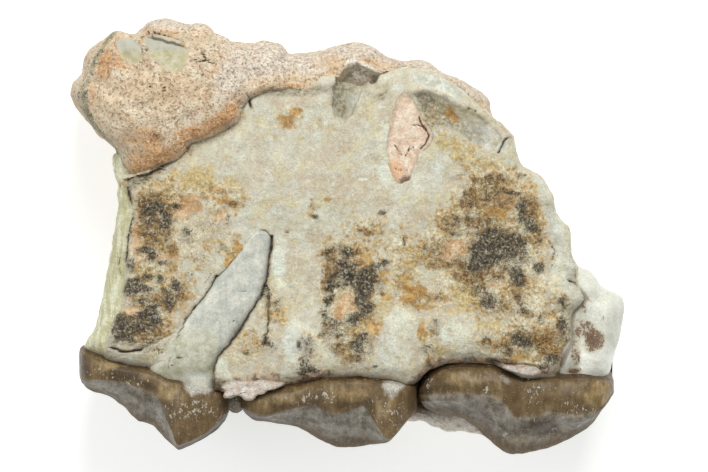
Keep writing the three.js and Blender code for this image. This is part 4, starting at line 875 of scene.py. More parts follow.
PALE = [
    (-5.8, -2.4, 0.7, 2.6, 0, 0.95), (1.4, 5.0, 0.6, 0.16, 0, 0.95), (-2.2, -2.7, 0.4, 0.4, 0, 0.8),
    (3.8, -3.9, 0.5, 0.5, 0, 0.7), (4.4, -6.8, 1.6, 1.3, 0, 0.85), (-4.6, -8.9, 1.0, 2.6, 0, 0.95),
    (-3.0, -8.1, 2.0, 0.7, 0, 0.7), (-2.2, -9.8, 0.8, 1.6, 0, 0.7), (3.8, -9.8, 2.0, 1.8, 0, 0.6),
    (4.3, 0.1, 0.6, 0.9, 0, 0.7), (3.3, 5.5, 0.7, 1.2, 0, 0.95), (2.9, 8.0, 0.9, 4.0, 0, 0.5),
    (9.3, -8.2, 2.2, 1.6, 0, 0.75), (13.9, -7.1, 1.1, 0.6, 0, 0.75), (16.4, -5.4, 1.2, 0.9, 0, 0.6),
    (15.2, -1.8, 0.7, 0.8, 0, 0.75), (7.4, 13.4, 1.8, 0.6, -15, 1.0), (8.8, 12.6, 1.6, 0.5, -38, 0.8),
    (-8.9, 6.6, 0.35, 1.0, 0, 0.5), (-10.2, 3.9, 0.3, 0.7, 15, 0.3), (-6.9, -6.3, 0.5, 0.9, 20, 0.7),
    (11.3, 4.5, 0.5, 0.3, 0, 0.9), (11.4, 3.4, 0.25, 0.35, 0, 0.8), (8.7, 1.9, 0.4, 0.25, 0, 0.8),
    (18.2, 0.0, 1.0, 6.0, 0, 0.65), (16.4, 4.2, 1.2, 1.6, 40, 0.7), (18.0, -3.0, 1.2, 1.0, 0, 0.7),
    (-10.6, -11.0, 0.7, 1.2, 0, 0.8), (-19.4, 3.0, 0.7, 2.4, 0, 0.5), (-14.4, -7.9, 1.2, 0.9, 40, 0.6),
    (-15.6, -7.5, 0.6, 0.6, 0, 0.6), (-17.4, -8.9, 1.0, 0.2, 10, 0.5), (-18.6, -10.2, 1.6, 0.4, 0, 0.4),
    (19.0, -8.2, 0.3, 2.2, -3, 0.9), (19.8, -5.3, 0.4, 0.6, 0, 0.7), (-2.6, 9.4, 0.3, 0.4, 0, 0.5),
    (-1.8, 9.6, 0.25, 0.4, 0, 0.6), (-0.2, 8.6, 0.5, 0.15, -50, 0.6),
]

# Swells and hollows of the face
BONE_BELLS = [
    (0.0, -8.0, 17.0, 2.4, 0, 0.35), (13.2, -1.2, 3.6, 4.6, 0, -0.3), (-16.6, -1.5, 1.9, 6.5, 0, -0.3),
    (0.3, -4.6, 2.2, 4.0, 0, -0.15), (2.9, 13.2, 0.5, 0.6, 0, 0.35), (1.7, 12.7, 0.5, 0.4, 0, 0.25),
    (2.4, 12.3, 0.9, 0.5, 0, 0.2), (7.0, 13.4, 2.4, 0.7, -15, -0.35), (-6.0, 12.4, 3.2, 0.6, 0, -0.35),
    (-12.5, 7.5, 4.2, 0.8, 32, -0.35), (-5.5, 4.5, 5.0, 3.0, 0, 0.25), (6.2, 3.2, 2.0, 3.0, 0, 0.2),
    (-4.6, -9.6, 2.2, 2.4, 0, 0.25), (3.0, -9.6, 2.0, 2.2, 0, 0.2), (9.6, -8.4, 2.4, 1.8, 0, 0.3),
    (16.2, -5.2, 1.8, 2.0, 0, 0.25), (17.9, 0.5, 0.9, 2.2, 10, 0.2), (16.6, 3.6, 0.9, 1.2, 40, 0.25),
]

# The tan haze round the stains, and the dark line along the gum
GROUND = [
    (-16.4, -1.2, 2.3, 5.4, 0, 0.9), (-17.3, -7.2, 2.9, 1.9, 10, 0.95), (-14.0, 3.7, 3.4, 1.6, 8, 0.8),
    (-11.9, 0.2, 2.4, 3.4, 0, 0.38), (-14.6, -4.6, 1.8, 1.4, 0, 0.75), (-10.0, 3.4, 1.7, 1.3, 0, 0.65),
    (-9.6, -1.4, 1.0, 1.5, 0, 0.75), (0.1, -2.6, 2.5, 2.9, 0, 0.9), (0.5, -6.0, 2.6, 3.0, 0, 0.85),
    (0.6, -9.3, 1.7, 1.5, 0, 0.8), (1.4, 0.9, 1.7, 0.8, 0, 0.65), (4.9, -2.6, 1.5, 3.2, 0, 0.65),
    (7.8, -1.0, 2.4, 1.7, 0, 0.8), (6.2, -5.2, 2.2, 1.1, -8, 0.65), (9.8, -4.2, 2.5, 1.9, 0, 0.65),
    (8.5, 1.4, 1.6, 1.5, 0, 0.7), (6.9, -8.4, 1.0, 1.7, 10, 0.45), (7.4, -10.2, 2.2, 0.7, 30, 0.5),
    (12.6, 3.6, 3.4, 2.5, 0, 0.95), (13.2, -0.8, 3.9, 3.0, 0, 1.0), (12.6, -4.6, 3.2, 2.4, 0, 0.8),
    (16.3, -5.6, 2.6, 2.2, -30, 0.6), (15.4, -9.0, 4.3, 2.0, 0, 0.95), (15.5, 0.8, 1.3, 3.0, 0, 0.9),
    (11.2, 6.4, 2.4, 1.1, -10, 0.55), (9.0, 8.0, 2.2, 1.3, -20, 0.45), (7.3, 10.8, 1.9, 1.3, 35, 0.25),
    (-3.2, -10.2, 1.4, 2.4, 0, 0.35), (-8.6, -9.2, 2.0, 1.6, 20, 0.5), (-6.4, -6.0, 1.3, 2.4, 20, 0.5),
    (-2.8, 2.4, 0.7, 1.3, 0, 0.4), (-5.0, 10.2, 1.4, 1.0, 20, 0.5), (3.0, 0.6, 1.0, 2.4, 0, 0.35),
]
GUM = [
    (-10.9, -12.6, 0.8, 0.8, 0, 0.8), (-3.2, -12.0, 2.6, 0.5, 15, 0.9), (1.8, -12.1, 3.2, 0.45, -4, 0.7),
    (5.9, -12.6, 0.7, 1.1, 0, 1.0), (6.9, -11.3, 1.2, 0.55, 45, 1.0), (9.0, -10.5, 2.0, 0.35, 5, 0.7),
    (12.6, -10.6, 2.6, 0.45, -5, 0.8), (17.4, -11.4, 1.4, 0.6, 0, 0.6), (-16.4, -11.2, 1.4, 0.4, -30, 0.4),
    (-19.4, -10.6, 2.2, 0.3, -15, 0.45), (-7.6, -12.0, 2.6, 0.6, 4, 0.6),
]


def bone_face(x, y):
    """The bone's outer face: a level plate with bell-shaped swells and hollows. It drops along
    the seam at the left, under the lobe of stone and at the gum line, and is cut by the notch and
    by the scoop, which has a low ridge above it."""
    u = x + 0.14 * flat_noise(x, y, 0.9, 3, 1.5)
    v = y + 0.14 * flat_noise(x, y, 0.9, 3, 8.5)
    height = BONE_FACE + bells(BONE_BELLS, x, y)
    side = inside(BEYOND_SEAM, u, v)
    height -= 0.3 * ramp(0, 0.3, side) + 0.4 * np.maximum(0, side)
    lobe = lobe_depth(x, y)
    height -= 0.2 * ramp(-0.4, 0.1, lobe) + 1.1 * ramp(0.1, 0.6, lobe)
    height -= 0.35 * ramp(1.3, 0.0, from_line(GUM_LINE, x, y)) * ramp(-9.0, -10.0, y)
    height -= (1.5 - 0.8 * ramp(-1.0, 1.2, u)) * ramp(-0.03, 0.16, inside(NOTCH, u, v))
    scoop = inside(SCOOP, u, v)
    height -= 0.4 * ramp(-0.05, 0.3, scoop) + 0.55 * ramp(0.1, 1.3, scoop)
    ridge = from_line([(5.1, 12.5), (7.0, 12.6), (8.6, 12.1), (10.2, 11.2), (12.2, 10.2)], u, v)
    height += 0.25 * np.exp(-(ridge / 0.4) ** 2)
    return height


def bone_back(x, y):
    """The bone's inner side: deep where it holds the roots, and a plate above them."""
    return SOCKET_FLOOR + (PLATE_BACK - SOCKET_FLOOR) * ramp(-7, 3, y)


def bone_finish():
    """Fossil bone. Each stain is a field on the surface that clouds of noise break into grains:
    a grain takes the stain where the field outweighs the noise there."""
    f = Finish("fossil_bone")
    grain = f.cloud(0.14, 2.0, 0.7)
    fleck = f.cloud(0.27, 3.0, 0.65, (5.0, 2.0, 8.0))
    clot = f.cloud(0.85, 4.0, 0.64, (3.0, 7.0, 1.0))
    broad = f.cloud(3.5, 3.0, 0.5, (1.0, 4.0, 2.0))
    patch = f.cloud(1.8, 4.0, 0.6, (8.0, 8.0, 2.0))
    crumb = f.cloud(0.55, 4.0, 0.68, (6.0, 3.0, 3.0))

    def grained(field, fine, coarse, low, high):
        """A stain's field, broken into grains by fine and coarse noise where it is above 0."""
        noisy = ((grain - 0.5) + (fleck - 0.5)) * fine * 0.6 + ((clot - 0.5) + (crumb - 0.5)) * coarse
        return (f.field(field) + noisy * f.field(field).above(0.0, 0.25)).above(low, high)

    colour = f.mix((broad + (clot - 0.5) * 0.6).above(0.36, 0.64), tint(194, 184, 160), tint(196, 194, 174))
    colour = f.mix(patch.above(0.5, 0.66) * 0.7, colour, tint(184, 168, 138))
    colour = f.mix(patch.above(0.46, 0.32) * 0.7, colour, tint(210, 208, 190))
    cool = f.cloud(1.1, 4.0, 0.65, (6.0, 6.0, 9.0)).above(0.54, 0.68)
    colour = f.mix(cool * 0.6, colour, tint(206, 212, 202))
    yellow = (f.cloud(1.5, 4.0, 0.65, (2.0, 5.0, 7.0)) + (fleck - 0.5) * 0.25).above(0.52, 0.66)
    colour = f.mix(yellow * 0.4, colour, tint(206, 196, 144))
    pale = grained("pale", 0.5, 1.1, 0.25, 0.9)
    colour = f.mix(pale * 0.8, colour, f.mix(broad.above(0.4, 0.6), tint(214, 221, 206), tint(221, 217, 186)))
    bluish = grained("cool", 0.6, 1.0, 0.2, 0.9)
    colour = f.mix(
        bluish * 0.8, colour, f.mix(clot.above(0.4, 0.6), tint(170, 174, 160), tint(206, 208, 200))
    )
    # Grey bone, with painted shade in the notch and the scoop
    grey = grained("grey", 0.7, 0.9, 0.2, 0.9)
    colour = f.mix(grey * 0.85, colour, f.mix(fleck.above(0.4, 0.6), tint(118, 108, 84), tint(166, 160, 136)))
    side = f.field("side")
    streak = f.cloud(0.4, 3.0, 0.6, (2.0, 2.0, 2.0), (1.0, 0.12, 1.0)).above(0.4, 0.65)
    colour = f.mix(side, colour, f.mix(streak, tint(184, 180, 138), tint(214, 214, 188)))
    ground = grained("ground", 1.2, 1.9, 0.16, 0.55)
    golden = f.cloud(0.7, 4.0, 0.65, (9.0, 4.0, 2.0))
    tan = f.mix(fleck.above(0.38, 0.58), tint(132, 104, 58), tint(190, 160, 104))
    light = f.mix(fleck.above(0.38, 0.58), tint(194, 182, 144), tint(212, 206, 180))
    colour = f.mix(ground * 0.92, colour, f.mix((patch * 0.6 + golden * 0.4).above(0.45, 0.58), tan, light))
    ochre = grained("ochre", 0.6, 1.3, 0.3, 0.85)
    colour = f.mix(ochre * 0.8, colour, f.mix(fleck.above(0.3, 0.7), tint(176, 154, 96), tint(200, 182, 130)))
    peach = grained("peach", 0.6, 1.1, 0.42, 0.68)
    colour = f.mix(peach * 0.9, colour, f.mix(clot.above(0.4, 0.6), tint(184, 140, 90), tint(212, 182, 144)))
    rust = grained("rust", 1.2, 1.5, 0.42, 0.72)
    colour = f.mix(
        rust * 0.88, colour, f.mix(golden.above(0.42, 0.6), tint(156, 116, 54), tint(194, 156, 86))
    )
    brown = grained("brown", 1.6, 1.5, 0.42, 0.7)
    colour = f.mix(brown * 0.88, colour, f.mix(fleck.above(0.42, 0.6), tint(98, 74, 40), tint(160, 126, 74)))
    black = grained("black", 2.4, 1.5, 0.46, 0.66)
    colour = f.mix(black * 0.94, colour, f.mix(fleck.above(0.44, 0.62), tint(50, 44, 34), tint(106, 97, 77)))
    stained = (f.field("black") + f.field("brown") * 0.7 + f.field("ground") * 0.45).above(0.1, 0.9)
    glint = f.cloud(0.2, 2.0, 0.6, (7.0, 3.0, 6.0)).above(0.57, 0.67)
    colour = f.mix(glint * stained * 0.6, colour, tint(206, 198, 172))
    gum = grained("gum", 1.2, 1.2, 0.25, 0.7)
    colour = f.mix(gum * 0.85, colour, f.mix(golden.above(0.42, 0.58), tint(96, 78, 58), tint(196, 168, 142)))
    rough = stained * 0.8 + 0.5
    colour = f.shade(colour, ((grain - 0.5) * 1.5 + (fleck - 0.5) * 1.2) * rough + (clot - 0.5) * 0.4 + 1.02)
    speck = f.cloud(0.2, 2.0, 0.6, (1.0, 9.0, 6.0)).above(0.6, 0.7)
    colour = f.mix(speck * (stained * 0.8 + 0.14), colour, tint(92, 76, 48))
    white = f.cloud(0.3, 2.0, 0.6, (6.0, 5.0, 4.0), (1.0, 0.5, 1.0)).above(0.61, 0.71)
    colour = f.mix(white * 0.4, colour, tint(230, 228, 214))
    crack = (f.field("crack") + (fleck - 0.5) * 0.5).above(0.35, 0.7)
    halo = (f.field("halo") + (fleck - 0.5) * 1.2).above(0.35, 0.9)
    colour = f.mix(halo * 0.55, colour, tint(112, 90, 58))
    colour = f.mix(crack * 0.95, colour, tint(54, 45, 33))
    relief = clot * 0.6 + fleck * (stained * 1.4 + 0.4) + grain * (stained * 0.6 + 0.4) - black * 0.3 - crack
    gloss = (clot - 0.5) * 0.3 + stained * 0.15 + 0.55
    f.wear(colour, gloss, relief, 0.16)
    return f


def make_jaw_bone():
    """The bone's slab, with a pocket for the stone plug and a trough for the bare root, and
    every crack sunk into it as a narrow groove. It is rougher where it is stained."""
    points, quads, triangles = slab(
        BONE_EDGE, BONE_CENTRE, lambda x, y: np.full(np.shape(x), BONE_RIM), bone_face, bone_back,
        11.0, 270, 14, face=0.96,
    )
    facing = outward(points, quads)
    x, y = points.T[:2]
    front = ramp(0.2, 0.6, facing[:, 2])
    u, v = x + 0.09 * noise(points, 0.5, 3, 3.0), y + 0.09 * noise(points, 0.5, 3, 6.0)
    black, brown, ground = (patches(stains, x, y) for stains in (BLACK, BROWN, GROUND))
    etched = np.clip(black + brown, 0, 1) * front
    etched = np.clip(etched + 0.7 * ground, 0, 1) * front
    crack = np.zeros(len(points))
    halo = np.zeros(len(points))
    for line, half_width, strength in BONE_CRACKS:
        away = from_line(line, u, v)
        crack = np.maximum(crack, strength * np.exp(-(away / half_width) ** 2))
        halo = np.maximum(halo, strength * np.exp(-(away / (3 * half_width)) ** 2))
    lumps = 0.09 * noise(points, 2.6, 3, 4.0) + 0.035 * noise(points, 0.7, 3, 6.0)
    pitted = 0.13 * noise(points, 0.6, 3, 8.0) * (0.2 + etched)
    chipped = 0.12 * (1 - front) * noise(points, 1.2, 3, 3.0)
    points = points + facing * (lumps + (pitted + chipped))[:, None]
    trough = ramp(0.05, 0.2, inside(BARE_ROOT_EDGE, u, v))
    pocket = ramp(0.0, 0.14, inside(PLUG_EDGE, u, v))
    points[:, 2] -= front * (CRACK_DEPTH * crack + TROUGH_DEPTH * trough + POCKET_DEPTH * pocket)
    notch = ramp(-0.1, 0.3, inside(NOTCH, u, v))
    scoop = ramp(-0.1, 1.2, inside(SCOOP, u, v))
    top_band = grooves([([(-9.0, 11.6), (-5.0, 12.4), (0.0, 12.8), (2.0, 12.9)], 0.7)], x, y)
    rim_band = grooves([(LOBE[:9], 1.0)], x, y)
    # In the notch and the scoop this grey is painted shade; the bands and most patches are grey bone
    grey = 0.25 * notch + 0.2 * scoop + 0.4 * top_band + 0.8 * rim_band + patches(GREY_AND_PAINTED_SHADE, x, y)
    side = ramp(0, 0.25, inside(BEYOND_SEAM, u, v))
    under = ramp(0.3, -0.2, facing[:, 2])
    made = piece(
        "jaw_bone_plate", points, quads, triangles,
        black=np.clip(black + 0.25 * rim_band, 0, 1) * front * (1 - side),
        brown=np.clip(brown * front * (1 - side) + 0.15 * under, 0, 1),
        ground=np.clip(ground * front * (1 - side) + 0.35 * rim_band * front + 0.5 * under, 0, 1),
        rust=patches(RUST, x, y) * front,
        ochre=np.clip(patches(OCHRE, x, y) * front + 0.3 * under, 0, 1),
        peach=patches(PEACH, x, y) * front,
        pale=patches(PALE, x, y) * front,
        cool=patches(COOL, x, y) * front,
        grey=np.clip(grey, 0, 1) * front,
        gum=patches(GUM, x, y),
        side=side,
        crack=crack * front,
        halo=halo * front,
    )
    dress(made, bone_finish(), "bone", "jaw_bone")


make_jaw_bone()


# The stone plug. An oval opening in the bone is filled with the same pink sediment, level with
# the bone's face, cracked along its lower right side.

PLUG_CENTRE = (5.1, 8.6)
PLUG_ORANGE_AT = (4.0, 5.8)
PLUG_DARK_AT = (5.0, 4.9)
PLUG_CRACKS = [
    ([(4.0, 7.9), (4.3, 7.5), (4.65, 6.95)], 0.035), ([(5.0, 7.0), (5.15, 7.3), (5.3, 7.75)], 0.035),
    ([(5.2, 7.4), (5.7, 7.75)], 0.025), ([(4.6, 7.3), (5.1, 7.4)], 0.02),
    ([(5.6, 9.5), (6.0, 9.65), (6.4, 9.5), (6.7, 9.1)], 0.035), ([(4.0, 5.9), (4.5, 5.7), (5.1, 5.8)], 0.03),
    ([(6.1, 10.3), (6.35, 9.7), (6.75, 9.2), (6.95, 8.7), (6.7, 8.1), (6.3, 7.6)], 0.06),
]


def small_slab(name, edge, centre, rim, face, bottom, cells, cracks, finish, slot, node,
               grow=0.0, ragged=0.0, tints=None):
    """A small slab, roughened along its own facing, with cracks sunk in it. Its rim and its back
    lie at fixed depths under its face's level. It may grow past its own outline, under the lips
    of the hollow that it fills, or have a ragged edge. Tints gives further fields from x and y."""
    points, quads, triangles = slab(
        edge, centre, lambda x, y: face(x, y) - rim, face, lambda x, y: face(x, y) - bottom,
        9.0, cells, 8, grow=grow,
    )
    facing = outward(points, quads)
    rough = 0.07 * noise(points, 0.9, 3, 2.0) + 0.03 * noise(points, 0.25, 2, 4.0)
    points = points + facing * rough[:, None]
    u, v = ragged * noise(points, 0.6, 3, 1.0), ragged * noise(points, 0.6, 3, 5.0)
    points = points + np.stack([u, v, 0 * u], 1)
    x, y = points.T[:2]
    u, v = x + 0.07 * noise(points, 0.4, 3, 3.0), y + 0.07 * noise(points, 0.4, 3, 6.0)
    crack = np.clip(grooves(cracks, u, v), 0, 1)
    points[:, 2] -= 0.2 * crack
    made = piece(
        name, points, quads, triangles,
        crack=crack, border=ramp(0.45, 0.0, inside(edge, x, y)), **(tints(x, y) if tints else {}),
    )
    dress(made, finish, slot, node)


def plug_face(x, y):
    """The plug stands a hair over the bone round it."""
    return bone_face(x, y) + 0.02


def plug_tints(x, y):
    """The plug is orange round its lower left rim, and dark at its foot."""
    return {
        "orange": ramp(1.5, 0.3, np.hypot(x - PLUG_ORANGE_AT[0], y - PLUG_ORANGE_AT[1])),
        "dark": ramp(0.9, 0.1, np.hypot((x - PLUG_DARK_AT[0]) / 1.2, y - PLUG_DARK_AT[1])),
    }


def plug_finish():
    """Pale pink sediment with small pale and rosy clouds, orange and dark where it is tinted."""
    f = Finish("pink_filling")
    grain = f.cloud(0.14, 2.0, 0.6)
    clot = f.cloud(0.6, 4.0, 0.6, (2.0, 5.0, 1.0))
    colour = f.mix(clot.above(0.36, 0.62), tint(212, 186, 160), tint(226, 212, 192))
    colour = f.mix(
        f.cloud(0.35, 3.0, 0.6, (5.0, 1.0, 1.0)).above(0.52, 0.68) * 0.7, colour, tint(210, 172, 146)
    )
    colour = f.mix(
        (f.field("orange") + (clot - 0.5) * 0.8).above(0.3, 0.9) * 0.8, colour, tint(220, 176, 134)
    )
    colour = f.mix(
        (f.field("border") + (grain - 0.5) * 1.4).above(0.4, 0.9) * 0.4, colour, tint(168, 140, 110)
    )
    colour = f.shade(colour, (grain - 0.5) * 0.9 + (clot - 0.5) * 0.3 + 1.01)
    colour = f.mix(f.cloud(0.2, 2.0, 0.6, (3.0, 3.0, 3.0)).above(0.6, 0.7) * 0.4, colour, tint(168, 132, 106))
    colour = f.mix((f.field("dark") + (grain - 0.5) * 1.2).above(0.4, 0.9) * 0.8, colour, tint(96, 66, 44))
    colour = f.mix(f.field("crack").above(0.3, 0.7) * 0.9, colour, tint(70, 48, 34))
    f.wear(colour, grain * 0.1 + 0.84, clot * 0.7 + grain * 0.5 - f.field("crack"), 0.11)
    return f


small_slab(
    "plug_of_sediment", PLUG_EDGE, PLUG_CENTRE, 0.8, plug_face, 3.0, 60, PLUG_CRACKS,
    plug_finish(), "filling", "stone_plug", grow=0.3, tints=plug_tints,
)


# Two flat chips of bone, caught in the stone at the upper left. They are olive-green and
# smoother than the stone, and lie nearly level with it.

# Side, outline, middle, cells of the grid and cracks
CHIPS = [
    ("left", CHIP_LEFT, (-18.6, 16.2), 40, [([(-17.6, 17.3), (-17.4, 16.4), (-17.4, 15.6)], 0.08)]),
    ("right", CHIP_RIGHT, (-15.4, 15.8), 44, [
        ([(-17.35, 17.3), (-16.5, 17.0), (-15.5, 16.72), (-14.3, 16.45), (-13.7, 16.3)], 0.12),
    ]),
]


def chip_finish():
    """Olive-green bone, clouded with cream, with a few pits and brown stains at the border."""
    f = Finish("green_bone")
    grain = f.cloud(0.13, 2.0, 0.6)
    clot = f.cloud(0.8, 4.0, 0.6, (4.0, 1.0, 7.0))
    colour = f.mix(clot.above(0.36, 0.64), tint(174, 168, 132), tint(192, 187, 158))
    colour = f.mix(
        f.cloud(0.5, 3.0, 0.6, (1.0, 1.0, 6.0)).above(0.5, 0.66) * 0.5, colour, tint(170, 162, 118)
    )
    colour = f.mix(f.cloud(0.3, 2.0, 0.5, (6.0, 1.0, 3.0)).above(0.6, 0.7) * 0.4, colour, tint(224, 220, 206))
    colour = f.mix((f.field("upper") + (clot - 0.5) * 0.8).above(0.2, 0.9) * 0.8, colour, tint(178, 178, 166))
    worn = (f.field("border") + (clot - 0.5) * 1.4 + (grain - 0.5) * 0.8).above(0.6, 1.2)
    colour = f.mix(worn * 0.6, colour, tint(204, 184, 152))
    colour = f.mix(f.field("crack").above(0.25, 0.7) * 0.85, colour, tint(92, 84, 70))
    colour = f.mix(
        f.cloud(0.25, 2.0, 0.5, (3.0, 9.0, 3.0)).above(0.64, 0.74) * 0.5, colour, tint(132, 116, 84)
    )
    f.wear(colour, clot * 0.3 + 0.42, clot * 0.6 + grain * 0.3, 0.08)
    return f


def chip_face(x, y):
    """The chips lie level with the stone round them, a hair lower."""
    return stone_front(x, y) - 0.03


def chip_tints(x, y):
    """The chips' upper parts are greyer."""
    return {"upper": ramp(15.4, 16.4, y)}


chip = chip_finish()
for side, edge, middle, cells, cracks in CHIPS:
    small_slab(
        f"chip_{side}", edge, middle, 0.5, chip_face, 1.2, cells, cracks, chip, "bone_chip",
        f"bone_chip_{side}", grow=0.3, tints=chip_tints,
    )


# The bare root of the left molar. It is a smooth tapering blade of pale dentine, which leans
# to the right as it goes up from the crown, and shows where the bone over it broke off.

ROOT_LEFT = [
    (-16.0, -13.6), (-16.7, -11.4), (-16.0, -9.4), (-15.1, -8.2), (-13.9, -7.1), (-13.0, -6.0),
    (-12.0, -4.95), (-11.2, -3.5), (-10.3, -2.5), (-9.1, -1.2), (-8.3, 0.1), (-7.5, 0.75),
]
ROOT_RIGHT = [
    (-11.2, -13.6), (-11.35, -11.2), (-10.9, -10.05), (-10.0, -8.95), (-9.0, -7.55), (-8.0, -5.95),
    (-7.4, -4.9), (-6.95, -3.5), (-6.7, -2.0), (-6.6, -1.0), (-6.5, 0.1), (-6.75, 0.75),
]

# Level of the root's middle and its half depth, by share of the way up from the crown
ROOT_LEVEL = [(0.0, 10.6), (0.045, 11.5), (0.1, 12.2), (0.2, 12.65), (0.5, 12.75), (0.8, 12.85), (1.0, 13.7)]
ROOT_DEPTH = [(0.0, 2.0), (0.1, 2.3), (0.5, 2.25), (0.8, 2.15), (0.95, 1.7), (1.0, 1.0)]

# Fine lines on it: points and half width
ROOT_LINES = [
    ([(-14.9, -10.9), (-14.5, -10.3), (-14.1, -9.9)], 0.05), ([(-14.4, -10.6), (-14.2, -10.2)], 0.04),
    ([(-8.9, -4.6), (-8.6, -4.5)], 0.04), ([(-10.1, -7.6), (-9.6, -7.0)], 0.03),
    ([(-15.4, -8.7), (-15.6, -9.4), (-16.3, -10.2)], 0.06), ([(-16.6, -9.5), (-16.9, -10.2)], 0.06),
]


def line_at(line, at):
    """A value along a line of pairs. Its corners are rounded off by averaging 19 of 400 steps
    under a bell-shaped weight."""
    fine = np.linspace(line[0][0], line[-1][0], 400)
    reach = 9
    weight = np.hanning(2 * reach + 3)
    padded = np.pad(np.interp(fine, *zip(*line)), reach, mode="edge")
    return np.interp(at, fine, np.convolve(padded, weight[1:-1] / weight.sum(), "valid"))


def points_along(line, share):
    """Points on a line with its corners rounded off, by the share of its stretches passed."""
    last = len(line) - 1
    return np.stack([
        line_at([(i / last, point[axis]) for i, point in enumerate(line)], share)
        for axis in (0, 1)
    ], 1)


def tube(rings):
    """Closed surface through rings of points, each ring one more row, with a fan over each end."""
    rows, sides = rings.shape[:2]
    index = np.arange(rows * sides).reshape(rows, sides)
    here, there = index[:-1], index[1:]
    turned_here, turned_there = np.roll(here, -1, 1), np.roll(there, -1, 1)
    quads = np.stack([here, turned_here, turned_there, there], -1).reshape(-1, 4)
    ends = rings[[0, -1]].mean(axis=1)
    first, last = rows * sides, rows * sides + 1
    triangles = np.concatenate([
        np.stack([np.roll(index[0], -1), index[0], np.full(sides, first)], 1),
        np.stack([index[-1], np.roll(index[-1], -1), np.full(sides, last)], 1),
    ])
    return np.concatenate([rings.reshape(-1, 3), ends]), quads, triangles


def root_finish():
    """Pale bluish dentine with long faint streaks, creamier towards the crown, hardly rough."""
    f = Finish("pale_root")
    grain = f.cloud(0.15, 2.0, 0.6)
    clot = f.cloud(0.9, 4.0, 0.6, (5.0, 5.0, 1.0))
    streak = f.cloud(0.5, 3.0, 0.6, (1.0, 1.0, 1.0), (1.0, 0.25, 1.0))
    colour = f.mix((streak * 0.5 + clot * 0.5).above(0.4, 0.6), tint(182, 186, 176), tint(206, 206, 192))
    colour = f.mix(
        f.cloud(0.5, 4.0, 0.65, (3.0, 9.0, 2.0)).above(0.54, 0.68) * 0.6, colour, tint(216, 216, 204)
    )
    cream = (f.field("cream") + (clot - 0.5) * 0.7).above(0.2, 0.9)
    colour = f.mix(cream, colour, f.mix(clot.above(0.4, 0.6), tint(180, 178, 152), tint(200, 200, 182)))
    white = (f.field("white") + (clot - 0.5) * 0.8).above(0.3, 0.9)
    colour = f.mix(white, colour, f.mix(streak.above(0.4, 0.6), tint(200, 202, 188), tint(210, 211, 198)))
    # Whitest: the bare root's white patch near its crown, and painted light on the pale root's lower end
    whitest_and_painted_light = (f.field("white") + (clot - 0.5) * 0.8).above(1.0, 1.6)
    colour = f.mix(whitest_and_painted_light, colour, tint(236, 237, 226))
    colour = f.shade(colour, (grain - 0.5) * 0.7 + (clot - 0.5) * 0.25 + 1.01)
    # Haze round the stain; close along the pale root's break it is painted shade
    haze = (f.field("stain") + (clot - 0.5) * 1.0).above(0.2, 0.9)
    colour = f.mix(haze * 0.6, colour, tint(172, 158, 130))
    spot = f.cloud(0.5, 4.0, 0.7, (4.0, 2.0, 2.0))
    stain = (f.field("stain") + (grain - 0.5) * 1.2 + (spot - 0.5) * 2.4).above(0.66, 0.86)
    colour = f.mix(stain * 0.9, colour, f.mix(grain.above(0.42, 0.58), tint(84, 58, 42), tint(128, 98, 70)))
    colour = f.mix(
        f.cloud(0.13, 1.0, 0.5, (8.0, 2.0, 4.0)).above(0.69, 0.76) * 0.5, colour, tint(120, 108, 80)
    )
    colour = f.mix(
        f.cloud(0.25, 2.0, 0.5, (1.0, 6.0, 2.0)).above(0.64, 0.76) * 0.4, colour, tint(236, 236, 228)
    )
    # On the pale root this is painted shadow along the bone's broken edge; on the bare root it is the dark of
    # the cracks along its sides
    edge = (f.field("edge") + (grain - 0.5) * 0.8).above(0.4, 0.95)
    colour = f.mix(edge * 0.7, colour, tint(104, 84, 56))
    colour = f.mix(f.field("crack").above(0.3, 0.7) * 0.85, colour, tint(60, 50, 36))
    f.wear(colour, clot * 0.25 + 0.32, clot * 0.5 + grain * 0.15 - f.field("crack") * 0.6, 0.07)
    return f


def make_bare_root(finish):
    """Rings between the root's left and right lines, squared ovals a tenth wider than the gap
    between them, whose level and half depth change along it. They lean down to the right. The
    rings are taken backwards, so that their faces look outward."""
    rows, sides, power = 260, 128, 4.5
    share = np.linspace(0, 1, rows)
    left, right = points_along(ROOT_LEFT, share), points_along(ROOT_RIGHT, share)
    turn = np.arange(sides) * math.tau / sides
    across, up = squared(np.cos(turn), power), squared(np.sin(turn), power)
    middle, half = (left + right) / 2, (right - left) / 2 * 1.1
    flat = middle[:, None] + half[:, None] * across[:, None]
    level = line_at(ROOT_LEVEL, share)[:, None] + line_at(ROOT_DEPTH, share)[:, None] * up
    level = level - 0.22 * across
    rings = np.concatenate([flat, level[..., None]], -1)
    points, quads, triangles = tube(rings[:, ::-1])
    swelling = 0.07 * noise(points, 2.0, 3, 5.0) + 0.012 * noise(points, 0.3, 2, 1.0)
    points = points + outward(points, quads) * swelling[:, None]
    x, y = points.T[:2]
    edge = 0.6 * grooves([(ROOT_RIGHT[2:], 0.2)], x, y) + 0.5 * grooves([(ROOT_LEFT[4:7], 0.2)], x, y)
    made = piece(
        "bare_root_of_left_molar", points, quads, triangles,
        cream=ramp(-6.0, -9.5, y) * ramp(-9.5, -12.0, x),
        white=1.5 * np.exp(-((x + 12.8) / 1.2) ** 4 - ((y + 12.3) / 0.9) ** 4),
        stain=np.zeros(len(points)),
        edge=np.clip(edge, 0, 1),
        crack=np.clip(grooves(ROOT_LINES, x, y), 0, 1),
    )
    dress(made, finish, "root")


root = root_finish()
make_bare_root(root)
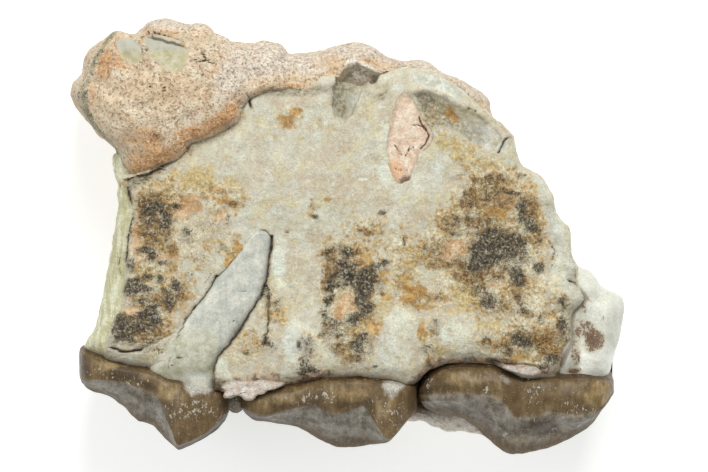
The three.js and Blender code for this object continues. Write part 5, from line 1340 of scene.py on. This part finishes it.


# The pale root of the right molar: a broad, nearly white slab of dentine that goes on past the
# broken edge of the bone, with dark stain near the break and painted shadow in the corner along it.

PALE_ROOT_EDGE = [
    (23.8, -5.6), (23.5, -4.95), (22.6, -4.5), (21.8, -4.1), (21.3, -3.35), (20.8, -2.85),
    (20.1, -2.55), (19.3, -2.3), (18.4, -3.0), (17.6, -5.4), (17.2, -8.4), (17.6, -12.4),
    (19.8, -12.9), (21.6, -12.5), (22.4, -11.6), (22.75, -10.4), (23.15, -9.2), (23.45, -8.0),
    (23.65, -6.8),
]
PALE_ROOT_CENTRE = (20.5, -8.0)
PALE_ROOT_RIM = 8.6
PALE_ROOT_FACE = 14.3
PALE_ROOT_BACK = 4.2
PALE_ROOT_BELLS = [
    (21.9, -7.4, 1.0, 3.6, -10, 0.35), (20.2, -8.6, 0.7, 2.4, 0, -0.5), (20.6, -4.2, 0.8, 0.9, 0, 0.3),
    (19.6, -6.6, 0.5, 2.0, 0, -0.5),
]
# Red-brown stain spots; the patches close along the break are also painted shade
PALE_ROOT_STAIN_AND_SHADE = [
    (20.2, -6.0, 0.4, 0.5, 0, 0.6), (21.0, -8.7, 0.8, 1.1, 0, 1.3), (20.6, -7.7, 0.5, 0.6, 30, 0.8),
    (19.6, -8.6, 0.4, 2.4, -5, 0.6), (19.4, -10.2, 0.5, 0.9, 0, 0.8), (21.7, -8.5, 0.3, 0.7, 0, 0.55),
    (19.3, -11.3, 0.7, 0.3, 0, 1.1), (20.0, -7.6, 0.8, 0.9, 0, 0.45), (21.3, -10.6, 0.5, 0.3, 0, 0.5),
    (20.6, -5.4, 0.4, 0.3, 0, 0.4),
    (21.8, -6.8, 0.15, 0.4, 0, 0.7), (20.4, -9.4, 0.5, 0.5, 0, 0.45),
]


def pale_root_face(x, y):
    """The face leans up towards its lower end, with swells and hollows, and drops at that end."""
    lean = 0.05 * (y - PALE_ROOT_CENTRE[1])
    drop = 0.4 * ramp(-9.4, -12.4, y)
    return PALE_ROOT_FACE - lean + bells(PALE_ROOT_BELLS, x, y) - drop


def make_pale_root(finish):
    """The root's slab, gently lumpy, whiter to the right, with painted light on its lower end, stain near the
    bone's break and painted shadow along the break.
    """
    points, quads, triangles = slab(
        PALE_ROOT_EDGE, PALE_ROOT_CENTRE, lambda x, y: np.full(np.shape(x), PALE_ROOT_RIM),
        pale_root_face, lambda x, y: np.full(np.shape(x), PALE_ROOT_BACK), 4.0, 110, 14,
    )
    facing = outward(points, quads)
    lumps = 0.12 * noise(points, 2.4, 3, 3.0) + 0.02 * noise(points, 0.4, 2, 1.0)
    points = points + facing * lumps[:, None]
    x, y = points.T[:2]
    nowhere = np.zeros(len(points))
    made = piece(
        "pale_root_of_right_molar", points, quads, triangles,
        cream=nowhere,
        # Whiter to the right; the rise at the lower end is painted light against the shade where the face
        # drops
        white=ramp(19.0, 20.2, x) * (1 + 0.6 * ramp(-8.6, -10.4, y)),
        stain=patches(PALE_ROOT_STAIN_AND_SHADE, x, y) * ramp(-0.2, 0.4, facing[:, 2]),
        # Painted shadow along the bone's broken edge
        edge=0.95 * grooves([(RIGHT_BREAK, 0.4)], x, y) * ramp(-3.0, -5.0, y),
        crack=nowhere,
    )
    dress(made, finish, "root")


make_pale_root(root)


# The three molars. Each crown has a rounded, ribbed outer wall of brown glossy enamel that runs
# down from the gum line to a W-shaped crest, and below it the worn slope and the inner cusps.

MOLAR_FACE = 14.9
MOLAR_DEPTH = 11.4
MOLAR_BACK = 2.6
LINGUAL_NECK = -11.2
VALLEY = 2.0
CUSP_RISE = 0.9

# Neck, crest and reach are lines of (x, y): the gum line, the crest, and the lowest line seen.
# Ribs are (x, half width, lift), blend is half the height over which the worn slope's tint comes
# in below the crest, and the rest are patches of tint
# Dark patches are partly dark enamel and partly painted shade at the ends where the crowns meet
MOLARS = [
    {
        "name": "molar_left", "left": -22.85, "right": -10.1, "blend": 0.3,
        "neck": [
            (-22.85, -9.3), (-22.4, -9.4), (-21.9, -9.8), (-21.0, -10.1), (-20.0, -10.5), (-19.0, -10.8),
            (-17.0, -11.1), (-16.0, -11.5), (-15.2, -12.1), (-14.2, -12.3), (-13.4, -12.8), (-10.1, -13.0),
        ],
        "crest": [
            (-22.85, -12.1), (-21.0, -12.1), (-19.0, -12.3), (-17.5, -12.9), (-16.4, -13.3), (-15.8, -14.2),
            (-15.1, -15.8), (-14.4, -17.55), (-13.3, -17.2), (-12.2, -16.6), (-11.2, -15.9), (-10.1, -14.6),
        ],
        "reach": [
            (-22.85, -12.2), (-22.4, -12.8), (-21.8, -13.1), (-21.0, -13.25), (-20.0, -13.7), (-19.2, -14.4),
            (-18.5, -15.2), (-17.9, -15.75), (-17.2, -15.9), (-16.5, -16.1), (-15.8, -16.8), (-15.1, -17.5),
            (-14.4, -18.1), (-13.2, -17.6), (-12.2, -17.0), (-11.3, -16.4), (-10.5, -15.6), (-10.1, -14.9),
        ],
        "ribs": [(-14.3, 1.2, 0.9), (-22.0, 0.8, 0.3), (-18.6, 1.4, -0.35), (-11.6, 1.0, -0.3)],
        # Amber patches, here and on the other crowns, are amber enamel and partly painted highlight; the
        # first is on the lit left side of the main rib
        "amber": [
            (-15.2, -12.9, 1.2, 0.7, 30, 1.25), (-20.4, -10.9, 0.9, 0.5, 0, 0.95),
            (-14.4, -13.6, 1.0, 0.8, 0, 0.5),
            (-17.4, -11.9, 0.9, 0.5, 10, 0.4), (-21.4, -11.2, 0.6, 0.8, 0, 0.4),
        ],
        "dark": [
            (-19.0, -11.6, 1.7, 0.7, 0, 0.95), (-22.4, -10.8, 0.6, 1.3, 0, 0.8),
            (-17.0, -12.5, 1.2, 0.4, -25, 0.9),
            (-14.8, -15.0, 1.3, 1.6, 0, 0.35), (-10.6, -14.2, 0.7, 1.0, 0, 0.6),
            (-13.0, -15.0, 1.0, 1.2, 0, 0.35),
        ],
        "chalk": [
            (-12.9, -12.4, 1.2, 0.9, 0, 1.0), (-12.0, -12.8, 0.9, 0.6, 0, 0.7),
            (-13.2, -13.3, 0.3, 0.4, 0, 0.4),
        ],
        "flecks": [
            (-14.0, -14.6, 1.6, 1.2, 0, 0.9), (-12.4, -14.4, 1.4, 1.0, 0, 0.8),
            (-18.2, -12.3, 1.2, 0.4, 0, 0.9),
            (-20.6, -11.9, 1.2, 0.6, 0, 0.6), (-15.9, -15.4, 0.3, 1.6, 20, 0.8),
            (-11.0, -15.4, 1.0, 1.2, 0, 0.5),
        ],
    },
    {
        "name": "molar_middle", "left": -9.1, "right": 5.95, "blend": 0.25,
        "neck": [
            (-9.1, -13.3), (-8.3, -13.3), (-7.0, -13.0), (-6.0, -12.8), (-4.0, -12.5), (-3.0, -12.2),
            (-2.0, -12.0), (0.0, -11.9), (2.0, -12.1), (5.0, -12.3), (5.95, -12.3),
        ],
        "crest": [
            (-9.1, -14.4), (-8.0, -14.9), (-7.0, -15.0), (-5.0, -14.65), (-3.0, -14.2), (-2.2, -14.5),
            (-1.4, -14.9), (-0.4, -14.9), (0.6, -14.5), (1.5, -14.2), (2.2, -15.3), (3.0, -16.7),
            (3.7, -17.0), (4.4, -16.2), (5.4, -15.2), (5.95, -14.4),
        ],
        "reach": [
            (-9.1, -14.5), (-8.6, -15.0), (-8.2, -15.4), (-7.6, -15.65), (-6.8, -15.75), (-5.5, -15.95),
            (-4.3, -16.2), (-3.4, -16.6), (-2.7, -17.1), (-1.8, -17.55), (-0.9, -17.85), (1.0, -17.8),
            (2.5, -17.65), (3.5, -17.45), (4.0, -17.0), (4.5, -16.3), (5.0, -15.7), (5.95, -14.4),
        ],
        "ribs": [(3.7, 1.1, 0.8), (-1.3, 0.9, 0.45), (-6.4, 1.6, 0.25), (1.2, 1.0, -0.5), (-3.4, 1.0, -0.2)],
        "amber": [
            (-4.8, -13.6, 1.4, 0.6, 10, 0.7), (-7.0, -14.2, 1.0, 0.6, 0, 0.5),
            (0.6, -13.4, 1.6, 0.7, 0, 0.75),
            (-1.0, -12.9, 1.0, 0.5, 0, 0.5), (3.4, -14.4, 0.9, 1.0, 0, 0.6), (2.6, -15.4, 0.5, 1.0, 20, 0.5),
        ],
        "dark": [
            (-2.5, -13.8, 0.6, 0.8, 0, 0.7), (-0.4, -14.2, 1.4, 0.4, 0, 0.7), (5.5, -13.8, 0.5, 1.6, 0, 0.75),
            (1.6, -14.0, 0.6, 0.6, -30, 0.7), (-5.0, -14.3, 2.4, 0.3, 8, 0.6),
            (-8.8, -14.0, 0.4, 0.8, 0, 0.6),
        ],
        "chalk": [
            (3.9, -12.5, 1.2, 0.6, 0, 0.95), (3.7, -13.3, 0.9, 0.6, 0, 0.5),
            (-8.6, -14.6, 0.4, 0.8, -20, 0.35), (-6.0, -15.4, 1.8, 0.4, -8, 0.5),
        ],
        "flecks": [
            (-3.4, -13.5, 1.4, 0.5, 20, 0.9), (-1.6, -13.4, 0.8, 0.6, 0, 0.9), (3.0, -14.9, 1.4, 1.4, 0, 0.6),
            (-5.4, -13.6, 0.5, 0.3, 0, 0.9), (-0.6, -15.7, 0.6, 0.3, 0, 0.6), (4.5, -15.0, 0.8, 1.0, 0, 0.6),
        ],
    },
    {
        "name": "molar_right", "left": 6.15, "right": 22.75, "blend": 0.9,
        "neck": [
            (6.15, -12.9), (6.6, -12.3), (7.2, -11.6), (7.9, -11.2), (8.5, -11.0), (10.0, -10.8),
            (12.4, -10.9), (13.3, -11.3), (14.0, -11.7), (15.0, -12.0), (18.0, -11.9), (20.0, -11.8),
            (22.0, -12.0), (22.75, -12.1),
        ],
        "crest": [
            (6.15, -13.5), (8.0, -13.4), (10.0, -13.3), (12.0, -13.4), (13.3, -14.0), (14.3, -15.3),
            (15.5, -15.4), (17.0, -14.9), (18.2, -14.9), (19.5, -15.2), (21.0, -14.8), (22.0, -13.9),
            (22.75, -12.8),
        ],
        "reach": [
            (6.15, -13.6), (6.6, -14.4), (7.2, -14.8), (8.0, -15.05), (9.7, -15.3), (11.0, -16.2),
            (12.3, -17.25), (13.0, -17.95), (13.6, -18.3), (14.2, -18.5), (15.0, -18.45), (16.5, -18.15),
            (18.0, -17.65), (19.5, -16.9), (20.6, -16.2), (21.2, -15.6), (21.7, -14.8), (22.3, -14.0),
            (22.75, -12.9),
        ],
        "ribs": [(10.2, 2.0, 0.6), (19.2, 1.8, 0.5), (14.8, 0.8, -0.6), (7.2, 0.8, -0.3), (13.2, 0.9, 0.3)],
        "amber": [
            (9.8, -12.0, 2.2, 0.8, 0, 0.75), (12.8, -13.0, 1.0, 0.8, -40, 0.5),
            (18.6, -12.9, 1.2, 0.9, 0, 0.3),
            (21.4, -13.4, 1.2, 1.3, 0, 1.3), (14.6, -17.4, 2.6, 0.7, 10, 0.5),
            (18.4, -16.6, 1.6, 0.6, 30, 0.5),
        ],
        "dark": [
            (6.8, -12.8, 0.8, 1.2, 0, 0.8), (13.6, -13.0, 0.7, 1.0, -30, 0.5),
            (9.4, -14.7, 2.0, 0.5, 0, 0.6), (18.8, -13.6, 1.0, 1.0, 0, 0.4),
            (11.8, -15.4, 1.4, 0.7, -40, 0.5), (16.0, -16.0, 2.4, 0.9, 0, 0.8),
        ],
        "chalk": [
            (13.4, -12.0, 0.8, 0.4, -35, 0.6), (20.9, -12.4, 1.2, 0.5, 0, 0.25),
            (16.4, -12.4, 0.8, 0.5, 0, 0.15), (21.6, -13.4, 0.9, 0.9, 0, 0.4),
        ],
        "flecks": [
            (11.8, -12.9, 0.5, 0.7, 20, 1.0), (15.8, -13.0, 0.7, 1.2, 0, 0.7),
            (13.5, -16.7, 0.5, 0.3, 0, 1.0),
            (17.8, -16.6, 0.6, 0.5, 0, 1.0), (19.4, -14.4, 1.6, 0.4, -15, 0.9),
            (6.9, -12.2, 0.5, 0.7, 0, 0.8),
            (12.4, -15.4, 0.3, 0.8, 0, 0.6), (18.6, -15.2, 1.2, 0.5, 0, 0.5),
        ],
    },
]


def enamel_finish():
    """Brown enamel: amber where it is thin and as painted highlight on the lit sides of the ribs, streaked
    from the gum line down, greyer and duller on the worn slope, with white scratches and chips, and painted
    glints along the ridges."""
    f = Finish("brown_enamel")
    f.shader.inputs["Coat Weight"].default_value = 0.06
    f.shader.inputs["Specular IOR Level"].default_value = 0.3
    f.shader.inputs["Coat Roughness"].default_value = 0.3
    grain = f.cloud(0.14, 2.0, 0.6)
    clot = f.cloud(1.0, 4.0, 0.6, (6.0, 3.0, 2.0))
    streak = f.cloud(0.5, 4.0, 0.65, (2.0, 1.0, 4.0), (1.0, 0.2, 0.5))
    fine = f.cloud(0.25, 3.0, 0.6, (7.0, 2.0, 5.0), (1.0, 0.15, 0.5))
    colour = f.mix((streak * 0.6 + clot * 0.5).above(0.3, 0.8), tint(86, 68, 42), tint(120, 100, 66))
    worn = (f.field("worn") + (clot - 0.5) * 0.7 + (streak - 0.5) * 0.3).above(0.15, 0.85)
    scuffed = f.mix((clot + (streak - 0.5) * 0.5).above(0.3, 0.66), tint(98, 90, 76), tint(152, 148, 138))
    colour = f.mix(worn * 0.85, colour, scuffed)
    # Amber enamel, partly painted highlight on the lit sides of the ribs
    amber = (f.field("amber") + (streak - 0.5) * 0.5 + (clot - 0.5) * 0.6).above(0.15, 1.0)
    colour = f.mix(
        amber * 0.8, colour,
        f.mix((streak * 0.5 + clot * 0.5).above(0.36, 0.64), tint(126, 104, 62), tint(164, 144, 106))
    )
    # Dark enamel, with painted shade under the crest and at the crowns' meeting ends
    dark = (f.field("dark") + (streak - 0.5) * 0.6).above(0.15, 1.0)
    colour = f.mix(dark * 0.75, colour, tint(62, 49, 34))
    chalk = (f.field("chalk") + (clot - 0.5) * 0.7 + (streak - 0.5) * 0.4).above(0.3, 0.9)
    colour = f.mix(
        chalk * 0.9, colour, f.mix(grain.above(0.4, 0.6), tint(178, 174, 162), tint(200, 198, 190))
    )
    low = (f.field("low") + (clot - 0.5) * 0.6).above(0.2, 0.9)
    colour = f.mix(low * 0.75, colour, tint(102, 82, 54))
    neck = (f.field("neck") + (f.cloud(0.3, 3.0, 0.6, (8.0, 8.0, 1.0)) - 0.5) * 1.2).above(0.5, 0.85)
    colour = f.mix(neck * 0.7, colour, tint(62, 46, 30))
    colour = f.shade(colour, (grain - 0.5) * 0.9 + (fine - 0.5) * 0.9 + (clot - 0.5) * 0.4 + 1.02)
    # A pale line along the crest: painted highlight
    rim = (f.field("crest") + (clot - 0.5) * 1.6).above(0.6, 1.1)
    colour = f.mix(rim * 0.25, colour, tint(164, 154, 136))
    # White flecks: scratches and chips, and painted glints along the ridges
    scratch = f.cloud(0.28, 3.0, 0.7, (3.0, 6.0, 6.0), (1.0, 0.7, 1.0))
    white = (scratch + f.field("flecks") * 0.13).above(0.65, 0.7)
    colour = f.mix(white * 0.7, colour, tint(206, 200, 188))
    dust = (f.cloud(0.18, 2.0, 0.6, (1.0, 2.0, 3.0)) + worn * 0.02).above(0.62, 0.7)
    colour = f.mix(dust * 0.35, colour, tint(172, 164, 150))
    relief = clot * 0.8 + streak * 0.6 + fine * 0.4 + grain * 0.2 + white * 0.4
    f.wear(colour, worn * 0.1 + clot * 0.2 + low * 0.2 + 0.34 + chalk * 0.15, relief, 0.08)
    return f


def make_crown(spec, finish):
    """A crown as rings, one for each step along the row of teeth. A ring is a smooth closed line
    through points at the gum line, the wall's bulge, the crest, the worn slope, the inner cusps,
    the valley, the tongue side's cusps and its wall. Towards the ends the rings flatten, by
    (1 - t^6)^(1/6) of their depth, t being the share of the way from the middle to the end. The
    crest is rounder on a crown whose worn slope blends in over a greater height."""
    rows, steps = 300, 14
    even = ramp(0, 1, np.linspace(0, 1, rows))
    t = -np.cos(math.pi * even)
    x = (spec["left"] + spec["right"]) / 2 + (spec["right"] - spec["left"]) / 2 * t
    open_wide = np.maximum(1 - t ** 6, 0) ** (1 / 6)
    half = MOLAR_DEPTH / 2 * np.maximum(open_wide, 0.03)
    middle = MOLAR_FACE - MOLAR_DEPTH / 2
    neck, crest, reach = (line_at(spec[line], x) for line in ("neck", "crest", "reach"))
    waist, close = (neck + reach) / 2, 0.5 + 0.5 * open_wide
    neck, crest, reach = (waist + (line - waist) * close for line in (neck, crest, reach))
    swell = sum(lift * np.exp(-(((x - at) / wide) ** 2)) for at, wide, lift in spec["ribs"]) * open_wide
    cusp = np.minimum(reach + CUSP_RISE, waist + (LINGUAL_NECK - 1.6 - waist) * close)
    valley = np.minimum(reach + VALLEY, waist + (LINGUAL_NECK - 1.2 - waist) * close)
    ridge = 0.12 + 0.45 * (spec["blend"] - 0.25)
    controls = np.array([
        (neck + 0.7 * open_wide ** 3, 0.6 * half),
        (neck - 0.02 * open_wide, 0.87 * half + 0.3 * swell),
        (neck - 0.4 * open_wide, 0.97 * half + 0.55 * swell),
        (0.5 * neck + 0.5 * crest, 1.0 * half + 0.9 * swell),
        (crest + ridge, 0.96 * half + swell),
        (crest - ridge, 0.92 * half + 0.9 * swell),
        (0.5 * crest + 0.5 * reach, 0.72 * half + 0.6 * swell),
        (reach, 0.34 * half + 0.3 * swell),
        (valley, 0.0 * half),
        (cusp, -0.45 * half),
        (0.5 * cusp + 0.5 * LINGUAL_NECK, -0.92 * half),
        (np.full(rows, LINGUAL_NECK), -0.93 * half),
        (np.full(rows, LINGUAL_NECK + 0.8), -0.6 * half),
        (np.minimum(neck + 1.6 * open_wide ** 3, LINGUAL_NECK + 1.6), 0.2 * half),
    ])
    curve = rounded(controls, steps)
    ring_y, ring_z = curve[:, :, 0].reshape(-1, rows), curve[:, :, 1].reshape(-1, rows) + middle
    rings = np.stack([np.broadcast_to(x, ring_y.shape), ring_y, ring_z], -1).transpose(1, 0, 2)
    points, quads, triangles = tube(rings)
    facing = outward(points, quads)
    lumps = 0.11 * noise(points, 2.2, 3, 6.0) + 0.02 * noise(points, 0.5, 2, 3.0)
    points = points + facing * lumps[:, None]
    points[:, 2] = np.maximum(points[:, 2], MOLAR_BACK)
    # Place round the ring, counted in the points above: 0 to 2 are at the gum line, 4 and 5 make
    # the crest, 7 is the lowest line, 8 the valley, and 9 to 13 lie on the tongue side
    sides = rings.shape[1]
    loop = np.concatenate([np.tile(np.arange(sides) / steps, rows), [0, 0]])
    px, py = points.T[:2]
    fall = np.concatenate([np.repeat(crest, sides), [0, 0]]) - py
    facet = np.concatenate([np.repeat(ramp(0.5, 1.2, crest - reach), sides), [0, 0]])
    slope = ramp(-spec["blend"], spec["blend"], fall) * facet * ramp(3.0, 4.0, loop) * ramp(13.0, 12.5, loop)
    # Where a crown has no worn slope, painted shade darkens the downturned wall under the crest
    under = 1.2 * (1 - facet) * ramp(4.4, 5.0, loop) * ramp(12.0, 10.0, loop)
    amber, dark, chalk, flecks = (
        patches(spec[stain], px, py) for stain in ("amber", "dark", "chalk", "flecks")
    )
    made = piece(
        f"{spec['name']}_crown", points, quads, triangles,
        worn=slope,
        amber=amber,
        # Dark enamel patches and the painted shade under the crest
        dark=np.maximum(dark, under),
        chalk=chalk,
        flecks=flecks,
        neck=(ramp(1.5, 1.0, loop) + ramp(11.0, 11.5, loop)) * (1 - chalk),
        low=ramp(5.9, 6.9, loop) * ramp(12.0, 10.0, loop),
        # Where the crest's painted highlight lies
        crest=np.exp(-(((loop - 4.5) / 0.3) ** 2)),
    )
    dress(made, finish, "enamel", spec["name"])


enamel = enamel_finish()
for spec in MOLARS:
    make_crown(spec, enamel)


# Two thin crusts of pinkish sediment at the gum line: one over the gap between the left and the
# middle molars, and one above the right molar.

CRUST_LEFT = [
    (-5.3, -12.35), (-6.2, -12.2), (-7.0, -12.1), (-8.4, -12.15), (-9.6, -12.1), (-10.3, -12.3),
    (-10.7, -12.7), (-10.4, -13.0), (-10.5, -13.5), (-10.1, -13.65), (-9.6, -13.4), (-9.0, -13.45),
    (-8.6, -13.75), (-8.1, -13.75), (-7.7, -13.4), (-7.1, -13.3), (-6.7, -12.95), (-6.0, -12.8),
]
CRUST_RIGHT = [
    (16.55, -11.5), (16.2, -11.1), (15.6, -10.95), (14.8, -10.95), (14.0, -10.85), (13.4, -10.85),
    (13.25, -11.05), (13.7, -11.25), (14.3, -11.5), (15.1, -11.7), (15.9, -11.75),
]


def crust_finish():
    """Rough pink-cream sediment with grey and rosy clouds."""
    f = Finish("sediment_crust")
    grain = f.cloud(0.16, 2.0, 0.6)
    clot = f.cloud(0.5, 4.0, 0.65, (1.0, 5.0, 3.0))
    colour = f.mix(clot.above(0.35, 0.62), tint(198, 189, 174), tint(226, 219, 208))
    colour = f.mix(
        f.cloud(0.4, 3.0, 0.6, (7.0, 1.0, 2.0)).above(0.5, 0.66) * 0.7, colour, tint(206, 172, 148)
    )
    colour = f.mix(
        f.cloud(0.14, 1.0, 0.5, (2.0, 8.0, 3.0)).above(0.62, 0.72) * 0.6, colour, tint(132, 104, 82)
    )
    colour = f.mix(
        (f.field("border") + (grain - 0.5) * 1.4).above(0.6, 1.0) * 0.5, colour, tint(140, 118, 96)
    )
    f.wear(colour, grain * 0.1 + 0.85, clot * 0.9 + grain * 0.6, 0.14)
    return f


crust = crust_finish()
small_slab(
    "crust_over_gap", CRUST_LEFT, (-8.0, -12.85), 0.8, lambda x, y: 15.5 + 0.25 * (y + 13), 2.0,
    60, [], crust, "siltstone", "crust_left", ragged=0.05,
)
small_slab(
    "crust_over_right_molar", CRUST_RIGHT, (15.0, -11.28), 0.7, lambda x, y: 15.35 + 0.3 * (y + 11),
    1.9, 44, [], crust, "siltstone", "crust_right", ragged=0.04,
)


# The white table that the fossil lies on, the light and the camera. A large soft light stands
# beyond the fossil's top edge, a little to the right, so the short shadow lies below the teeth.

# In metres
TABLE_HALF = 1.0
CAMERA_PLACE = (0.000595, 0.00017, 0.615)
LIT_POINT = (0, 0, 0.01)


def make_table():
    """A flat white square that also glows a little, so that it stays white under soft light."""
    mesh = bpy.data.meshes.new("table")
    corners = [
        (right * TABLE_HALF, up * TABLE_HALF, 0) for right, up in ((-1, -1), (1, -1), (1, 1), (-1, 1))
    ]
    mesh.from_pydata(corners, [], [(0, 1, 2, 3)])
    made = bpy.data.objects.new("table", mesh)
    bpy.context.scene.collection.objects.link(made)
    f = Finish("white_table")
    f.shader.inputs["Base Color"].default_value = (0.65, 0.65, 0.65, 1.0)
    f.shader.inputs["Emission Color"].default_value = (0.98, 1.0, 0.98, 1.0)
    f.shader.inputs["Emission Strength"].default_value = 0.57
    f.shader.inputs["Roughness"].default_value = 0.9
    made.data.materials.append(f.material)


def make_light(name, place, size, power, colour):
    """A square soft light that faces the fossil's middle."""
    lamp = bpy.data.lights.new(name, "AREA")
    lamp.size = size
    lamp.energy = power
    lamp.color = colour
    made = bpy.data.objects.new(name, lamp)
    made.location = place
    aim = Vector(LIT_POINT) - Vector(place)
    made.rotation_euler = aim.to_track_quat("-Z", "Y").to_euler()
    bpy.context.scene.collection.objects.link(made)


def make_camera():
    """A long lens straight above the fossil, looking down."""
    lens = bpy.data.cameras.new("camera")
    lens.sensor_width = 36.0
    lens.lens = 358.8
    lens.clip_start = 0.05
    made = bpy.data.objects.new("camera", lens)
    made.location = CAMERA_PLACE
    bpy.context.scene.collection.objects.link(made)
    bpy.context.scene.camera = made


make_table()
make_light("key", (0.05, 0.30, 0.38), 0.20, 1.6, (1.0, 0.99, 0.97))
make_light("fill", (-0.28, 0.02, 0.40), 0.30, 0.4, (0.96, 0.98, 1.0))
world = bpy.data.worlds.new("room")
world.use_nodes = True
world.node_tree.nodes["Background"].inputs["Color"].default_value = (1.0, 1.0, 1.0, 1.0)
world.node_tree.nodes["Background"].inputs["Strength"].default_value = 0.48
bpy.context.scene.world = world
bpy.context.scene.view_settings.view_transform = "Standard"
make_camera()
